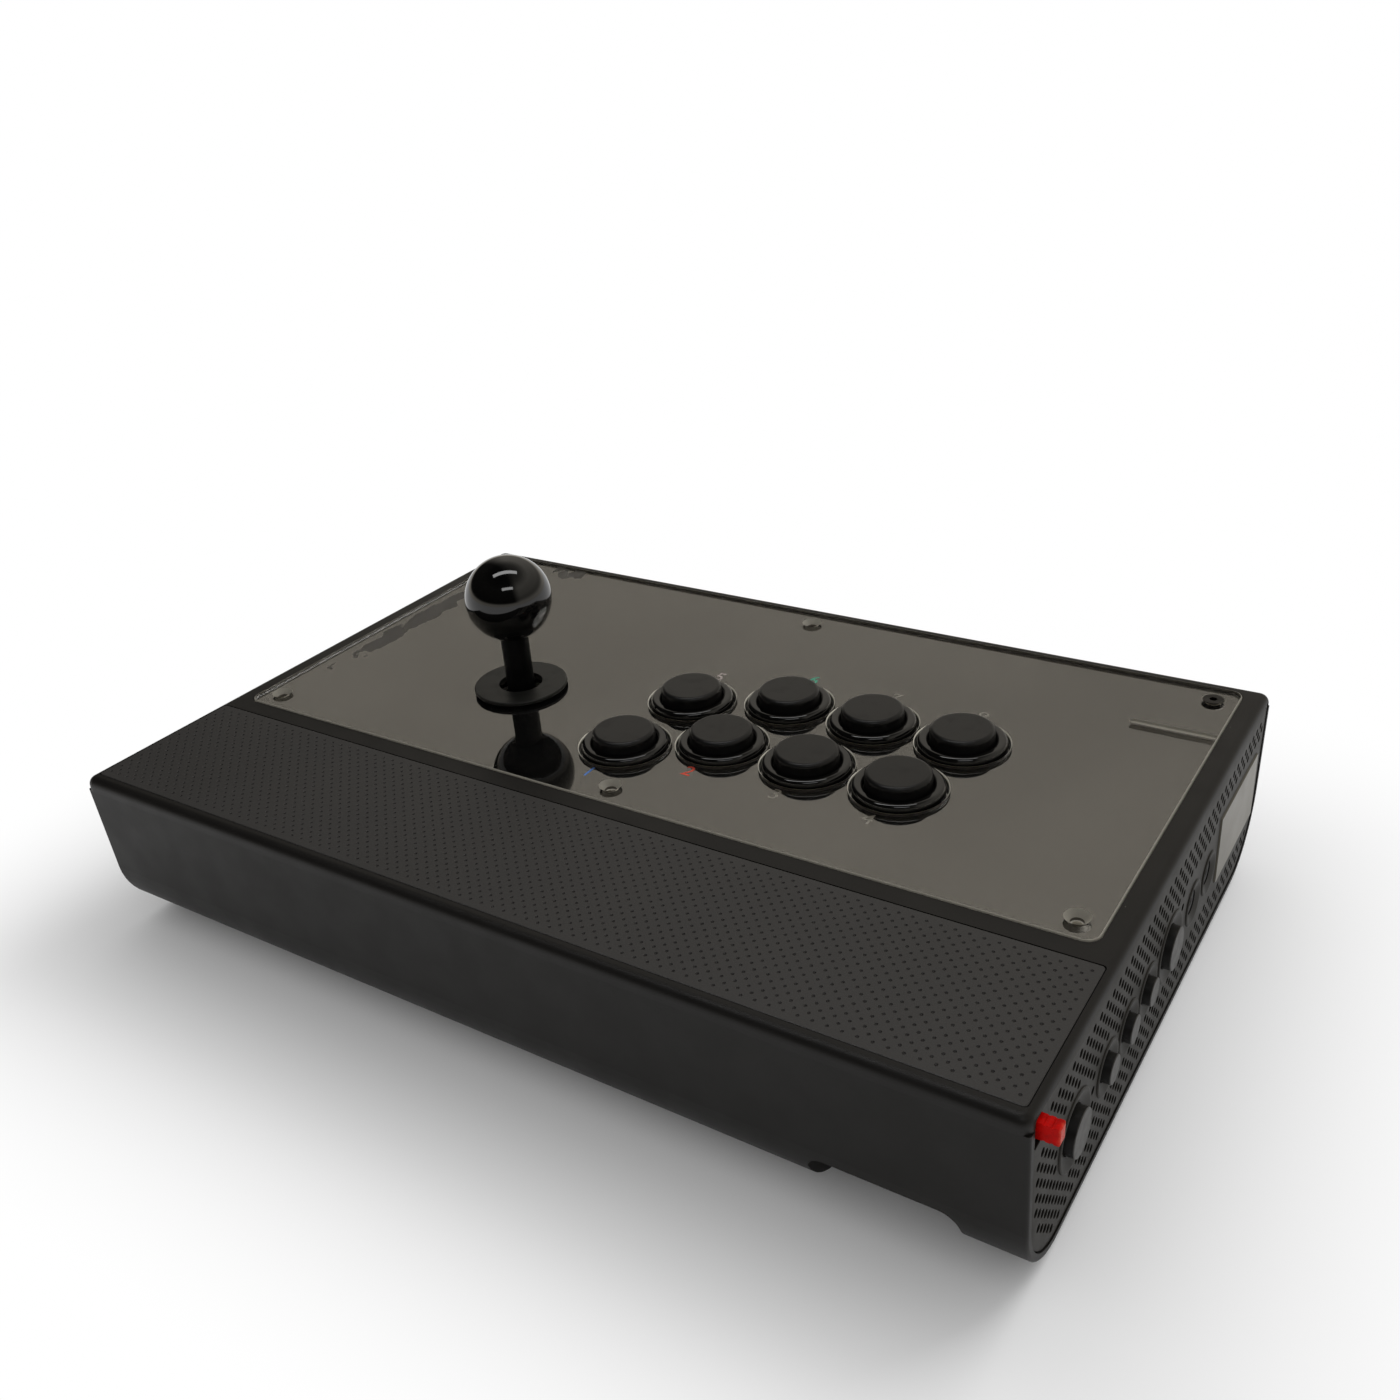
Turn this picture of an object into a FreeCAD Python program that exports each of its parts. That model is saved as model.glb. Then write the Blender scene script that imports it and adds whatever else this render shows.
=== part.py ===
import FreeCAD
import Part

import math
import os

# An arcade stick: a wide housing with a lever, eight push buttons, a wrist inlay and side controls.
# +X is the player's right, +Y the rear, +Z up. The origin lies under the middle of the whole part,
# on the surface that the feet stand on. All sizes are in millimetres.

# Housing
BODY_W = 380.0             # width over both ends
BODY_D = 253.0             # depth over the cover
FOOT_H = 3.0               # shell bottom above the table
SHELL_H = 67.3             # shell bottom to the top of the bezel
SEAM_DROP = 5.3            # bezel top down to the seam between cover and base
WALL = 2.6                 # wall of the base
NOSE = 0.5                 # overhang of the cover past the base walls
FRONT_LEAN = 3.1           # how far the front wall leans in towards the bottom
REAR_LEAN = 5.4            # the same for the rear wall
FRONT_ROUND = 26.0         # lower front edge
REAR_ROUND = 30.0          # lower rear edge
END_ROUND = 1.0            # outer edge of the base at both ends

# Cover
DECK_T = 2.4               # top wall of the cover
SKIRT_T = 3.0              # front and rear skirt
COVER_CORNER = 4.0         # corners seen from above
COVER_ROLL = 3.2           # rolled top edge
COVER_GAP = 0.4            # play between parts of the cover and the base
LEDGE_T = 1.6              # ledge that carries the control plate
LEDGE_W = 5.5
FRAME_WALL = 1.2           # wall round the plate pocket
POCKET_GAP = 0.25          # play round the plates and the wrist inlay

# Plates over the controls
SIDE_BEZEL = 8.5
REAR_BEZEL = 5.2
MID_BEZEL = 8.0            # bezel between the wrist inlay and the clear plate
PLATE_T = 3.0
PLATE_PROUD = 0.5          # clear plate above the bezel
PLATE_CORNER = 5.0
PLATE_CHAMFER = 0.5
SHEET_T = 0.3
CONTROL_T = 1.5
SCREW_EDGE_X = 9.2         # screw places from the plate's sides
SCREW_EDGE_Y = 10.1        # screw places from the plate's front and rear
PLATE_HOLE = 4.4
SINK_D = 8.4               # countersink in the clear plate
INSERT_D = 6.0
INSERT_BORE = 3.2
INSERT_L = 5.0
LIGHT_SLOT_L = 32.0        # light slot at the rear right of the clear plate
LIGHT_SLOT_W = 3.2
LIGHT_SLOT_DEPTH = 0.8
LIGHT_SLOT_FROM_REAR = 39.0

# Wrist inlay
WRIST_D = 62.3
WRIST_T = 1.6
WRIST_EDGE = 4.9           # bezel in front of the inlay
WRIST_SIDE = 2.9           # bezel at its two ends
WRIST_BACK = 1.5           # thickening of the cover below it
WRIST_CORNER = 1.5

# Finger notch in the lower front edge
NOTCH_X = 146.5
NOTCH_W = 47.0
NOTCH_TOP = 24.0
NOTCH_DEPTH = 17.0
NOTCH_WALL = 2.2
NOTCH_ROUND = 6.0

# Feet, housing screws and floor posts
FOOT_D = 22.0
FOOT_SINK = 0.8
FOOT_SIDE = 22.0           # foot centres from the ends
FOOT_FRONT = 42.5          # and from the front and the rear
FOOT_REAR = 48.5
SCREW_SIDE = 40.0          # screw axes from the ends
SCREW_MID_X = 45.0         # middle pair, clear of the plate's inserts
SCREW_FRONT = 41.5         # screw axes from the front and the rear
SCREW_REAR = 11.0
SCREW_D = 3.0
SCREW_HEAD_D = 6.6
SCREW_HEAD_H = 2.4
SCREW_L = 13.0
SCREW_PLAY = 0.15
COLUMN_D = 10.4
BOSS_D = 8.4
BOSS_SPLIT_Z = 46.0        # where base columns and cover bosses meet
BOSS_FLOOR = 4.0           # column wall under the screw head

# Side panels
PANEL_T = 3.0
PANEL_INSET = 0.4          # panel face behind the ends of the base
PANEL_GAP = 0.3            # gap round the panel
PANEL_CORNER = 1.5
SEAT_T = 2.4               # rib that the panel seats on
SEAT_W = 2.4
HOLE_D = 2.4               # perforation, run together along its slanted rows
HOLE_STEP = 2.8            # row to row, and half the step along a row
HOLE_MARGIN = 3.2          # plain edge of the panel
HOLE_CLEAR = 2.4           # plain ring round each control
SLOT_HOLES = 12            # most holes that one slot stands for

# Side controls, on the right panel
CONTROL_Z = 34.6
RING_RISE = 0.6            # raised ring round a control
CAP_RISE = 2.6             # cap above the panel
BIG_CAP_D = 15.0
BIG_RING_D = 25.6
SMALL_CAP_D = 9.5
SMALL_RING_D = 18.8
# Gaps along the row of controls from front to rear, in the measure in which they share the free room
ROW_GAPS = (20.4, 6.2, 0.8, 0.8, 2.2, 5.8, 2.6, 3.6, 6.0)
CAP_PLAY = 0.3
CAP_FLANGE = 1.5           # flange behind the panel, past the cap
CAP_FLANGE_T = 1.2
CAP_STEM_D = 4.0
CAP_TRAVEL = 0.8
PAD_W = 52.0
PAD_H = 27.0
PAD_LIFT = 1.7             # pad centre above the other controls
PAD_RISE = 0.6
PAD_CORNER = 2.5
JACK_D = 8.6
JACK_RING_D = 17.0
JACK_BORE = 3.6
JACK_DEPTH = 14.0
JACK_SINK = 0.8            # jack face below the panel face
JACK_BODY = 11.0
KNOB_FRONT = 7.3           # lock slider from the front
KNOB_W = 4.0
KNOB_H = 5.6
KNOB_DROP = 6.8            # below the top of the bezel
KNOB_OUT = 6.3
KNOB_TRAVEL = 4.0
KNOB_PLATE = 1.6           # guide plate behind the panel, past the slot
BOARD_T = 1.6
SIDE_BOARD_DEPTH = 7.0     # board face behind the panel's inner face
TACT_W = 6.0
TACT_H = 3.0
TACT_NUB = 3.0
POST_D = 5.0
BOARD_H = 25.0
BOARD_EDGE = 13.0          # side board past the outermost cap
JACK_EDGE = 8.0            # jack board past the outermost jack

# Push buttons, from the middle of the clear plate
PITCH = 36.4               # along the straight part of a row
ROW_FRONT = (93.2, -32.4)  # right end of the front row
ROW_REAR = (100.7, 6.0)    # right end of the rear row
BUTTON_FALL_FRONT = (33.4, 16.4)
BUTTON_FALL_REAR = (36.9, 13.6)
RIM_D = 33.0
RIM_RISE = 2.0             # rim above the clear plate
RIM_ROUND = 1.6
RIM_LIP = 3.8              # depth of the collar that guides the plunger
RIM_HOLE_GAP = 1.1         # clear plate round the rim
BARREL_D = 29.4
BARREL_GAP = 0.3
BARREL_WALL = 1.5
BARREL_L = 20.5
BARREL_WEB = 1.5
PLUNGER_D = 24.0
PLUNGER_RISE = 6.3         # plunger above the clear plate
PLUNGER_ROUND = 1.6
PLUNGER_PLAY = 0.3
PLUNGER_FLANGE = 0.9
PLUNGER_FLANGE_T = 1.5
PLUNGER_SKIRT = 10.0
PLUNGER_TOP_T = 2.6
PLUNGER_WALL = 2.0
BUTTON_TRAVEL = 3.0
STEM_D = 6.0
SWITCH_W = 19.8
SWITCH_D = 6.4
SWITCH_H = 8.0
SWITCH_NUB_D = 3.0
SWITCH_NUB_H = 1.9

# Lever, from the middle of the clear plate
LEVER_X = -81.5
LEVER_BACK = -27.0
LEVER_TILT = 8.0           # degrees each way
BALL_D = 35.0
BALL_Z = 39.5              # ball centre above the clear plate
BALL_FLAT = 1.4
SHAFT_D = 9.0
SHAFT_TIP_D = 6.0
SHAFT_TIP_L = 13.0
SLEEVE_D = 11.4
SLEEVE_PLAY = 0.1
SLEEVE_BELOW = 6.5         # sleeve end above the pivot
WASHER_D = 38.5
WASHER_T = 1.4
LEVER_HOLE = 24.0
LEVER_PLAY = 0.4
PIVOT_DROP = 8.0           # pivot below the control plate
RING_OD = 27.0
RING_ID = 18.0
RING_H = 6.0
TRUNNION_D = 4.0
TRUNNION_L = 4.0
PIVOT_PIN_D = 3.0
PIVOT_FIT = 0.05
LEVER_PLATE_W = 96.0
LEVER_PLATE_D = 54.0
LEVER_PLATE_T = 1.6
BOLT_D = 4.0
BOLT_HEAD_D = 7.0
BOLT_HEAD_H = 2.2
BOLT_EDGE = 6.0
CASE_W = 52.0
CASE_WALL = 3.0
CASE_H = 38.4
CASE_WEB_Z = 14.0          # web below the pivot
CASE_WEB_T = 3.0
ACTUATOR_D = 13.0
ACTUATOR_FLANGE_D = 20.0
ACTUATOR_FLANGE_T = 1.0
ACTUATOR_TOP = 21.0        # below the pivot
ACTUATOR_L = 14.0
CLIP_D = 12.0
CLIP_T = 1.0
CLIP_GAP = 0.2
SHAFT_END = 2.0            # shaft past the clip
GATE_T = 2.5
SPRING_WIRE = 1.2
SPRING_D = 17.0
SPRING_TURNS = 3
LEVER_SWITCH_W = 19.8
LEVER_SWITCH_H = 9.0
LEVER_SWITCH_T = 6.0
LEVER_NUB = 3.0

# Main board and cable inlet
MAIN_W = 110.0
MAIN_D = 60.0
MAIN_X = 20.0
MAIN_REAR = 64.5           # board's middle from the rear
MAIN_RISE = 6.0
MAIN_HOLE = 3.2
MAIN_POST_D = 7.0
MAIN_POST_EDGE = 5.0
INLET_X = -100.0
INLET_Z = 34.0
INLET_W = 9.0
INLET_H = 3.4
INLET_T = 0.4
INLET_L = 9.0
INLET_SINK = 1.0
INLET_COLLAR = 3.0
INLET_TONGUE = 0.8

# Levels and lines that follow from the sizes above
HALF_W = BODY_W / 2
HALF_D = BODY_D / 2
Z_BOTTOM = FOOT_H
Z_FLOOR = Z_BOTTOM + WALL
Z_BEZEL = FOOT_H + SHELL_H
Z_SEAM = Z_BEZEL - SEAM_DROP
Z_DECK = Z_BEZEL - DECK_T
Z_TOP = Z_BEZEL + PLATE_PROUD
Z_PLATE = Z_TOP - PLATE_T
Z_SHEET = Z_PLATE - SHEET_T
Z_CONTROL = Z_SHEET - CONTROL_T
Z_LEDGE = Z_CONTROL - LEDGE_T
Z_SEAT_TOP = min(Z_LEDGE, Z_SEAM) - COVER_GAP
Z_PANEL_TOP = Z_DECK - PANEL_GAP
WRIST_FRONT = -HALF_D + WRIST_EDGE
WRIST_HALF = HALF_W - WRIST_SIDE
PLATE_HALF = HALF_W - SIDE_BEZEL
PLATE_REAR = HALF_D - REAR_BEZEL
PLATE_FRONT = WRIST_FRONT + WRIST_D + MID_BEZEL
PLATE_MID = (PLATE_FRONT + PLATE_REAR) / 2
LEVER_Y = PLATE_MID + LEVER_BACK
PANEL_FACE = HALF_W - PANEL_INSET
PANEL_BACK = PANEL_FACE - PANEL_T
PAD_Z = CONTROL_Z + PAD_LIFT
KNOB_Y = -HALF_D + KNOB_FRONT
KNOB_Z = Z_BEZEL - KNOB_DROP
MAIN_Y = HALF_D - MAIN_REAR
PIVOT_Z = Z_CONTROL - PIVOT_DROP
# The lock slider reaches out on the right only, so the housing sits a little left of the origin
HOUSING_X = -(PANEL_FACE + KNOB_OUT - HALF_W) / 2

UP = FreeCAD.Vector(0, 0, 1)
RIGHT = FreeCAD.Vector(1, 0, 0)
REARWARD = FreeCAD.Vector(0, 1, 0)


def vec(x, y, z):
    return FreeCAD.Vector(x, y, z)


def box(x0, x1, y0, y1, z0, z1):
    """Box between two corners."""
    return Part.makeBox(x1 - x0, y1 - y0, z1 - z0, vec(x0, y0, z0))


def rod(diameter, length, base, axis=UP):
    return Part.makeCylinder(diameter / 2, length, base, axis)


def fuse(shapes):
    """One clean solid from overlapping solids."""
    return shapes[0].multiFuse(shapes[1:]).removeSplitter()


def rounded_box(x0, x1, y0, y1, z0, z1, radius):
    """Box with rounded upright edges."""
    block = box(x0, x1, y0, y1, z0, z1)
    upright = [e for e in block.Edges if abs(e.tangentAt(e.FirstParameter).z) > 0.9]
    return block.makeFillet(radius, upright)


def rounded_wire(points, radii):
    """Closed wire through corner points, each corner rounded by its radius."""
    corners = []
    for i, point in enumerate(points):
        back = (points[i - 1] - point).normalize()
        ahead = (points[(i + 1) % len(points)] - point).normalize()
        half = back.getAngle(ahead) / 2
        if radii[i] > 0:
            run = radii[i] / math.tan(half)
            centre = point + (back + ahead).normalize() * (radii[i] / math.sin(half))
            middle = centre + (point - centre).normalize() * radii[i]
            corners.append((point + back * run, middle, point + ahead * run))
        else:
            corners.append((point, None, point))
    edges = []
    for i, (start, middle, end) in enumerate(corners):
        if middle is not None:
            edges.append(Part.Arc(start, middle, end).toShape())
        edges.append(Part.LineSegment(end, corners[(i + 1) % len(corners)][0]).toShape())
    return Part.Wire(edges)


def wall_y(z, rear):
    """Outer face of the front or rear wall of the base at a height."""
    drop = (Z_SEAM - z) / (Z_SEAM - Z_BOTTOM)
    if rear:
        return HALF_D - NOSE - REAR_LEAN * drop
    return -(HALF_D - NOSE) + FRONT_LEAN * drop


def section(inset, top, corner=0.0):
    """Face in the YZ plane: the base's profile, moved in by an amount and cut off at a height."""
    low = Z_BOTTOM + inset
    points = [
        vec(0, wall_y(top, False) + inset, top),
        vec(0, wall_y(low, False) + inset, low),
        vec(0, wall_y(low, True) - inset, low),
        vec(0, wall_y(top, True) - inset, top),
    ]
    radii = [corner, FRONT_ROUND - inset, REAR_ROUND - inset, corner]
    return Part.Face(rounded_wire(points, radii))


def control_row():
    """Middles along the panel of the large caps, the small caps, the jacks and the pad."""
    widths = [BIG_RING_D] + 3 * [SMALL_RING_D] + [BIG_RING_D] + 2 * [JACK_RING_D] + [PAD_W]
    front = wall_y(CONTROL_Z, False) + WALL + PANEL_GAP
    rear = wall_y(CONTROL_Z, True) - WALL - PANEL_GAP
    share = (rear - front - sum(widths)) / sum(ROW_GAPS)
    middles = []
    edge = front
    for gap, width in zip(ROW_GAPS, widths):
        middles.append(edge + gap * share + width / 2)
        edge = middles[-1] + width / 2
    return (middles[0], middles[4]), tuple(middles[1:4]), tuple(middles[5:7]), middles[7]


# Places of the side controls along the panel
BIG_CAP_Y, SMALL_CAP_Y, JACK_Y, PAD_Y = control_row()


def prism(face, x0, x1):
    """Extrusion of a YZ face from x0 to x1."""
    moved = face.translated(vec(x0, 0, 0))
    return moved.extrude(vec(x1 - x0, 0, 0))


def screw_places():
    """Housing screws, seen from above."""
    edge = HALF_W - SCREW_SIDE
    return [(x, y) for y in (SCREW_FRONT - HALF_D, HALF_D - SCREW_REAR) for x in (-edge, SCREW_MID_X, edge)]


def foot_places():
    edge = HALF_W - FOOT_SIDE
    return [(x, y) for y in (FOOT_FRONT - HALF_D, HALF_D - FOOT_REAR) for x in (-edge, edge)]


def plate_places():
    """The six screw places of the clear plate, the rear right one last."""
    xs = (-(PLATE_HALF - SCREW_EDGE_X), 0, PLATE_HALF - SCREW_EDGE_X)
    ys = (PLATE_FRONT + SCREW_EDGE_Y, PLATE_REAR - SCREW_EDGE_Y)
    return [(x, y) for y in ys for x in xs]


def button_places():
    """Button centres: front row from the left, then the rear row from the left."""
    places = []
    for (x, y), (fall_x, fall_y) in ((ROW_FRONT, BUTTON_FALL_FRONT), (ROW_REAR, BUTTON_FALL_REAR)):
        straight = [(x - n * PITCH, PLATE_MID + y) for n in (2, 1, 0)]
        first = (straight[0][0] - fall_x, PLATE_MID + y - fall_y)
        places += [first] + straight
    return places


def main_posts():
    dx = MAIN_W / 2 - MAIN_POST_EDGE
    dy = MAIN_D / 2 - MAIN_POST_EDGE
    return [(MAIN_X + sx * dx, MAIN_Y + sy * dy) for sx in (-1, 1) for sy in (-1, 1)]


def seat_rib(side):
    """Rib inside one end of the base that a side panel seats against."""
    inner = side * (PANEL_BACK - SEAT_T)
    outer = side * PANEL_BACK
    x0, x1 = min(inner, outer), max(inner, outer)
    rib = prism(section(WALL / 2, Z_SEAT_TOP), x0, x1)
    rib = rib.cut(prism(section(WALL + SEAT_W, Z_SEAM + 1), x0 - 1, x1 + 1))
    if side > 0:
        low = KNOB_Z - KNOB_H / 2 - 2 * KNOB_TRAVEL - KNOB_PLATE
        rib = rib.cut(box(x0 - 1, x1 + 1, wall_y(Z_SEAM, False) + WALL, KNOB_Y + KNOB_W * 2, low, Z_SEAM + 1))
        reach = CAP_FLANGE + 2 * CAP_PLAY
        rib = rib.cut(box(x0 - 1, x1 + 1, PAD_Y - PAD_W / 2 - reach, PAD_Y + PAD_W / 2 + reach,
                          PAD_Z - PAD_H / 2 - reach, PAD_Z + PAD_H / 2 + reach))
    return rib


def notch_recess():
    """Space of the finger notch, open to the front and the underside."""
    x0, x1 = NOTCH_X - NOTCH_W / 2, NOTCH_X + NOTCH_W / 2
    front = -HALF_D - 1
    low = Z_BOTTOM - 1
    points = [vec(x0, front, low), vec(x1, front, low), vec(x1, front, NOTCH_TOP), vec(x0, front, NOTCH_TOP)]
    face = Part.Face(rounded_wire(points, [0, 0, NOTCH_ROUND, NOTCH_ROUND]))
    return face.extrude(vec(0, wall_y(NOTCH_TOP, False) + NOTCH_DEPTH - front, 0))


def base_shell():
    """Tub with rounded lower edges, open ends with panel seats, and the finger notch."""
    outer = prism(section(0, Z_SEAM), -HALF_W, HALF_W)
    ends = [e for e in outer.Edges if e.BoundBox.XLength < 0.01 and e.BoundBox.ZMin < Z_SEAM - 0.1]
    outer = outer.makeFillet(END_ROUND, ends)
    hollow = prism(section(WALL, Z_SEAM + 1), -HALF_W - 1, HALF_W + 1)
    solids = [outer.cut(hollow), seat_rib(-1), seat_rib(1)]

    envelope = prism(section(WALL / 2, Z_SEAM), -HALF_W + WALL, HALF_W - WALL)
    pocket = box(NOTCH_X - NOTCH_W / 2 - NOTCH_WALL, NOTCH_X + NOTCH_W / 2 + NOTCH_WALL,
                 -HALF_D, wall_y(NOTCH_TOP, False) + NOTCH_DEPTH + NOTCH_WALL,
                 Z_BOTTOM, NOTCH_TOP + NOTCH_WALL)
    solids.append(pocket.common(envelope))
    for x, y in screw_places():
        solids.append(rod(COLUMN_D, BOSS_SPLIT_Z - Z_BOTTOM, vec(x, y, Z_BOTTOM)).common(envelope))
    for x, y in main_posts():
        solids.append(rod(MAIN_POST_D, WALL / 2 + MAIN_RISE, vec(x, y, Z_FLOOR - WALL / 2)))
    inlet_y = wall_y(INLET_Z, True)
    collar = box(INLET_X - INLET_W / 2 - INLET_COLLAR, INLET_X + INLET_W / 2 + INLET_COLLAR,
                 inlet_y - INLET_SINK - INLET_L, inlet_y,
                 INLET_Z - INLET_H / 2 - INLET_COLLAR, INLET_Z + INLET_H / 2 + INLET_COLLAR)
    solids.append(collar.common(envelope))
    shell = fuse(solids)

    cuts = [notch_recess()]
    for x, y in screw_places():
        cuts.append(rod(SCREW_HEAD_D + 2 * COVER_GAP, BOSS_SPLIT_Z - BOSS_FLOOR, vec(x, y, 0)))
        cuts.append(rod(SCREW_D + 2 * SCREW_PLAY, BOSS_SPLIT_Z + 1, vec(x, y, 0)))
    for x, y in foot_places():
        cuts.append(rod(FOOT_D, FOOT_SINK + 1, vec(x, y, Z_BOTTOM - 1)))
    cuts.append(box(INLET_X - INLET_W / 2, INLET_X + INLET_W / 2, inlet_y - INLET_SINK - INLET_L - 1, HALF_D,
                    INLET_Z - INLET_H / 2, INLET_Z + INLET_H / 2))
    return shell.cut(Part.makeCompound(cuts))


def top_cover():
    """Bezel with rolled edges, a stepped pocket for the plates and one for the wrist inlay."""
    cover = rounded_box(-HALF_W, HALF_W, -HALF_D, HALF_D, Z_SEAM, Z_BEZEL, COVER_CORNER)
    rim = [e for e in cover.Edges if e.BoundBox.ZMin > Z_BEZEL - 0.01]
    cover = cover.makeFillet(COVER_ROLL, rim)
    cover = cover.cut(box(-HALF_W - 1, HALF_W + 1, -HALF_D + SKIRT_T, HALF_D - SKIRT_T, Z_SEAM - 1, Z_DECK))

    wide = PLATE_HALF + POCKET_GAP
    front, rear = PLATE_FRONT - POCKET_GAP, PLATE_REAR + POCKET_GAP
    inside = prism(section(WALL + COVER_GAP, Z_DECK + DECK_T / 2), -HALF_W, HALF_W)
    frame = box(-wide - FRAME_WALL, wide + FRAME_WALL, front - FRAME_WALL, rear + FRAME_WALL,
                Z_LEDGE, Z_DECK + DECK_T / 2).common(inside)
    backing = box(-wide, wide, WRIST_FRONT + WRIST_EDGE, front, Z_DECK - WRIST_BACK, Z_DECK + DECK_T / 4)
    solids = [cover, frame, backing]
    for x, y in screw_places():
        root = Z_DECK if y < front else Z_LEDGE + LEDGE_T / 2
        solids.append(rod(BOSS_D, root - BOSS_SPLIT_Z, vec(x, y, BOSS_SPLIT_Z)))
    cover = fuse(solids)

    cuts = [
        rounded_box(-wide, wide, front, rear, Z_CONTROL, Z_BEZEL + 1, PLATE_CORNER),
        rounded_box(-wide + LEDGE_W, wide - LEDGE_W, front + LEDGE_W, rear - LEDGE_W,
                    Z_LEDGE - 1, Z_CONTROL + 1, PLATE_CORNER),
        rounded_box(-WRIST_HALF - POCKET_GAP, WRIST_HALF + POCKET_GAP, WRIST_FRONT - POCKET_GAP,
                    WRIST_FRONT + WRIST_D + POCKET_GAP, Z_BEZEL - WRIST_T, Z_BEZEL + 1, WRIST_CORNER),
    ]
    cover = cover.cut(Part.makeCompound(cuts))
    pilots = [rod(SCREW_D + 2 * SCREW_PLAY, SCREW_L, vec(x, y, BOSS_SPLIT_Z - 1)) for x, y in screw_places()]
    return cover.cut(Part.makeCompound(pilots))


def plate_blank(z0, z1):
    return rounded_box(-PLATE_HALF, PLATE_HALF, PLATE_FRONT, PLATE_REAR, z0, z1, PLATE_CORNER)


def plate_cuts(z0, z1, button_d, screw_d):
    """Holes for buttons, lever and screw places through one plate."""
    holes = [rod(button_d, z1 - z0, vec(x, y, z0)) for x, y in button_places()]
    holes.append(rod(LEVER_HOLE, z1 - z0, vec(LEVER_X, LEVER_Y, z0)))
    holes += [rod(screw_d, z1 - z0, vec(x, y, z0)) for x, y in plate_places()]
    return holes


def acrylic_plate():
    """Clear plate: round the rims, countersunk at the screws, with a light slot at the right edge."""
    plate = plate_blank(Z_PLATE, Z_TOP)
    rim = [e for e in plate.Edges if e.BoundBox.ZMin > Z_TOP - 0.01]
    plate = plate.makeChamfer(PLATE_CHAMFER, rim)
    holes = plate_cuts(Z_PLATE - 1, Z_TOP + 1, RIM_D + 2 * RIM_HOLE_GAP, PLATE_HOLE)
    sink_h = (SINK_D - PLATE_HOLE) / 2
    for x, y in plate_places():
        holes.append(Part.makeCone(PLATE_HOLE / 2, SINK_D / 2, sink_h, vec(x, y, Z_TOP - sink_h)))
    slot_y = PLATE_REAR - LIGHT_SLOT_FROM_REAR
    holes.append(box(PLATE_HALF - LIGHT_SLOT_L, PLATE_HALF + 1, slot_y - LIGHT_SLOT_W / 2,
                     slot_y + LIGHT_SLOT_W / 2, Z_TOP - LIGHT_SLOT_DEPTH, Z_TOP + 1))
    return plate.cut(Part.makeCompound(holes))


def art_sheet():
    holes = plate_cuts(Z_SHEET - 1, Z_PLATE + 1, BARREL_D + 2 * BARREL_GAP, INSERT_D)
    return plate_blank(Z_SHEET, Z_PLATE).cut(Part.makeCompound(holes))


def control_plate():
    """Steel plate that carries the buttons, the lever and the threaded inserts."""
    holes = plate_cuts(Z_CONTROL - 1, Z_SHEET + 1, BARREL_D + 2 * BARREL_GAP, INSERT_D)
    holes += [rod(BOLT_D, CONTROL_T + 2, vec(x, y, Z_CONTROL - 1)) for x, y in bolt_places()]
    return plate_blank(Z_CONTROL, Z_SHEET).cut(Part.makeCompound(holes))


def plate_inserts():
    """Threaded inserts pressed into the control plate, flush with the art sheet."""
    solids = []
    for x, y in plate_places():
        insert = rod(INSERT_D, INSERT_L, vec(x, y, Z_PLATE - INSERT_L))
        solids.append(insert.cut(rod(INSERT_BORE, INSERT_L, vec(x, y, Z_PLATE - INSERT_L))))
    return Part.makeCompound(solids)


def plate_screw():
    """The one countersunk socket screw, at the rear right."""
    x, y = plate_places()[-1]
    sink_h = (SINK_D - PLATE_HOLE) / 2
    neck = INSERT_BORE - 2 * PIVOT_FIT
    head = Part.makeCone(neck / 2, SINK_D / 2 - COVER_GAP, sink_h, vec(x, y, Z_TOP - sink_h))
    shank = rod(neck, PLATE_T + INSERT_L - sink_h, vec(x, y, Z_PLATE - INSERT_L))
    hexagon = Part.makePolygon([
        vec(x + neck / 2 * math.cos(math.radians(a)), y + neck / 2 * math.sin(math.radians(a)), Z_TOP - sink_h)
        for a in range(0, 361, 60)])
    socket = Part.Face(hexagon).extrude(UP * (sink_h + 1))
    return fuse([head, shank]).cut(socket)


def wrist_rest():
    """Leatherette inlay, flush with the bezel."""
    pad = rounded_box(-WRIST_HALF, WRIST_HALF, WRIST_FRONT, WRIST_FRONT + WRIST_D,
                      Z_BEZEL - WRIST_T, Z_BEZEL, WRIST_CORNER)
    rim = [e for e in pad.Edges if e.BoundBox.ZMin > Z_BEZEL - 0.01]
    return pad.makeFillet(WRIST_T / 4, rim)


def base_screws():
    solids = []
    for x, y in screw_places():
        seat = BOSS_SPLIT_Z - BOSS_FLOOR
        head = rod(SCREW_HEAD_D, SCREW_HEAD_H, vec(x, y, seat - SCREW_HEAD_H))
        solids.append(fuse([head, rod(SCREW_D, SCREW_L, vec(x, y, seat - SCREW_HEAD_H / 2))]))
    return Part.makeCompound(solids)


def rubber_feet():
    """Four round feet, let into the underside, with a rounded lower edge."""
    solids = []
    for x, y in foot_places():
        foot = rod(FOOT_D, FOOT_H + FOOT_SINK, vec(x, y, 0))
        low = [e for e in foot.Edges if e.BoundBox.ZMax < 0.01]
        solids.append(foot.makeFillet(FOOT_H / 3, low))
    return Part.makeCompound(solids)


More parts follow.
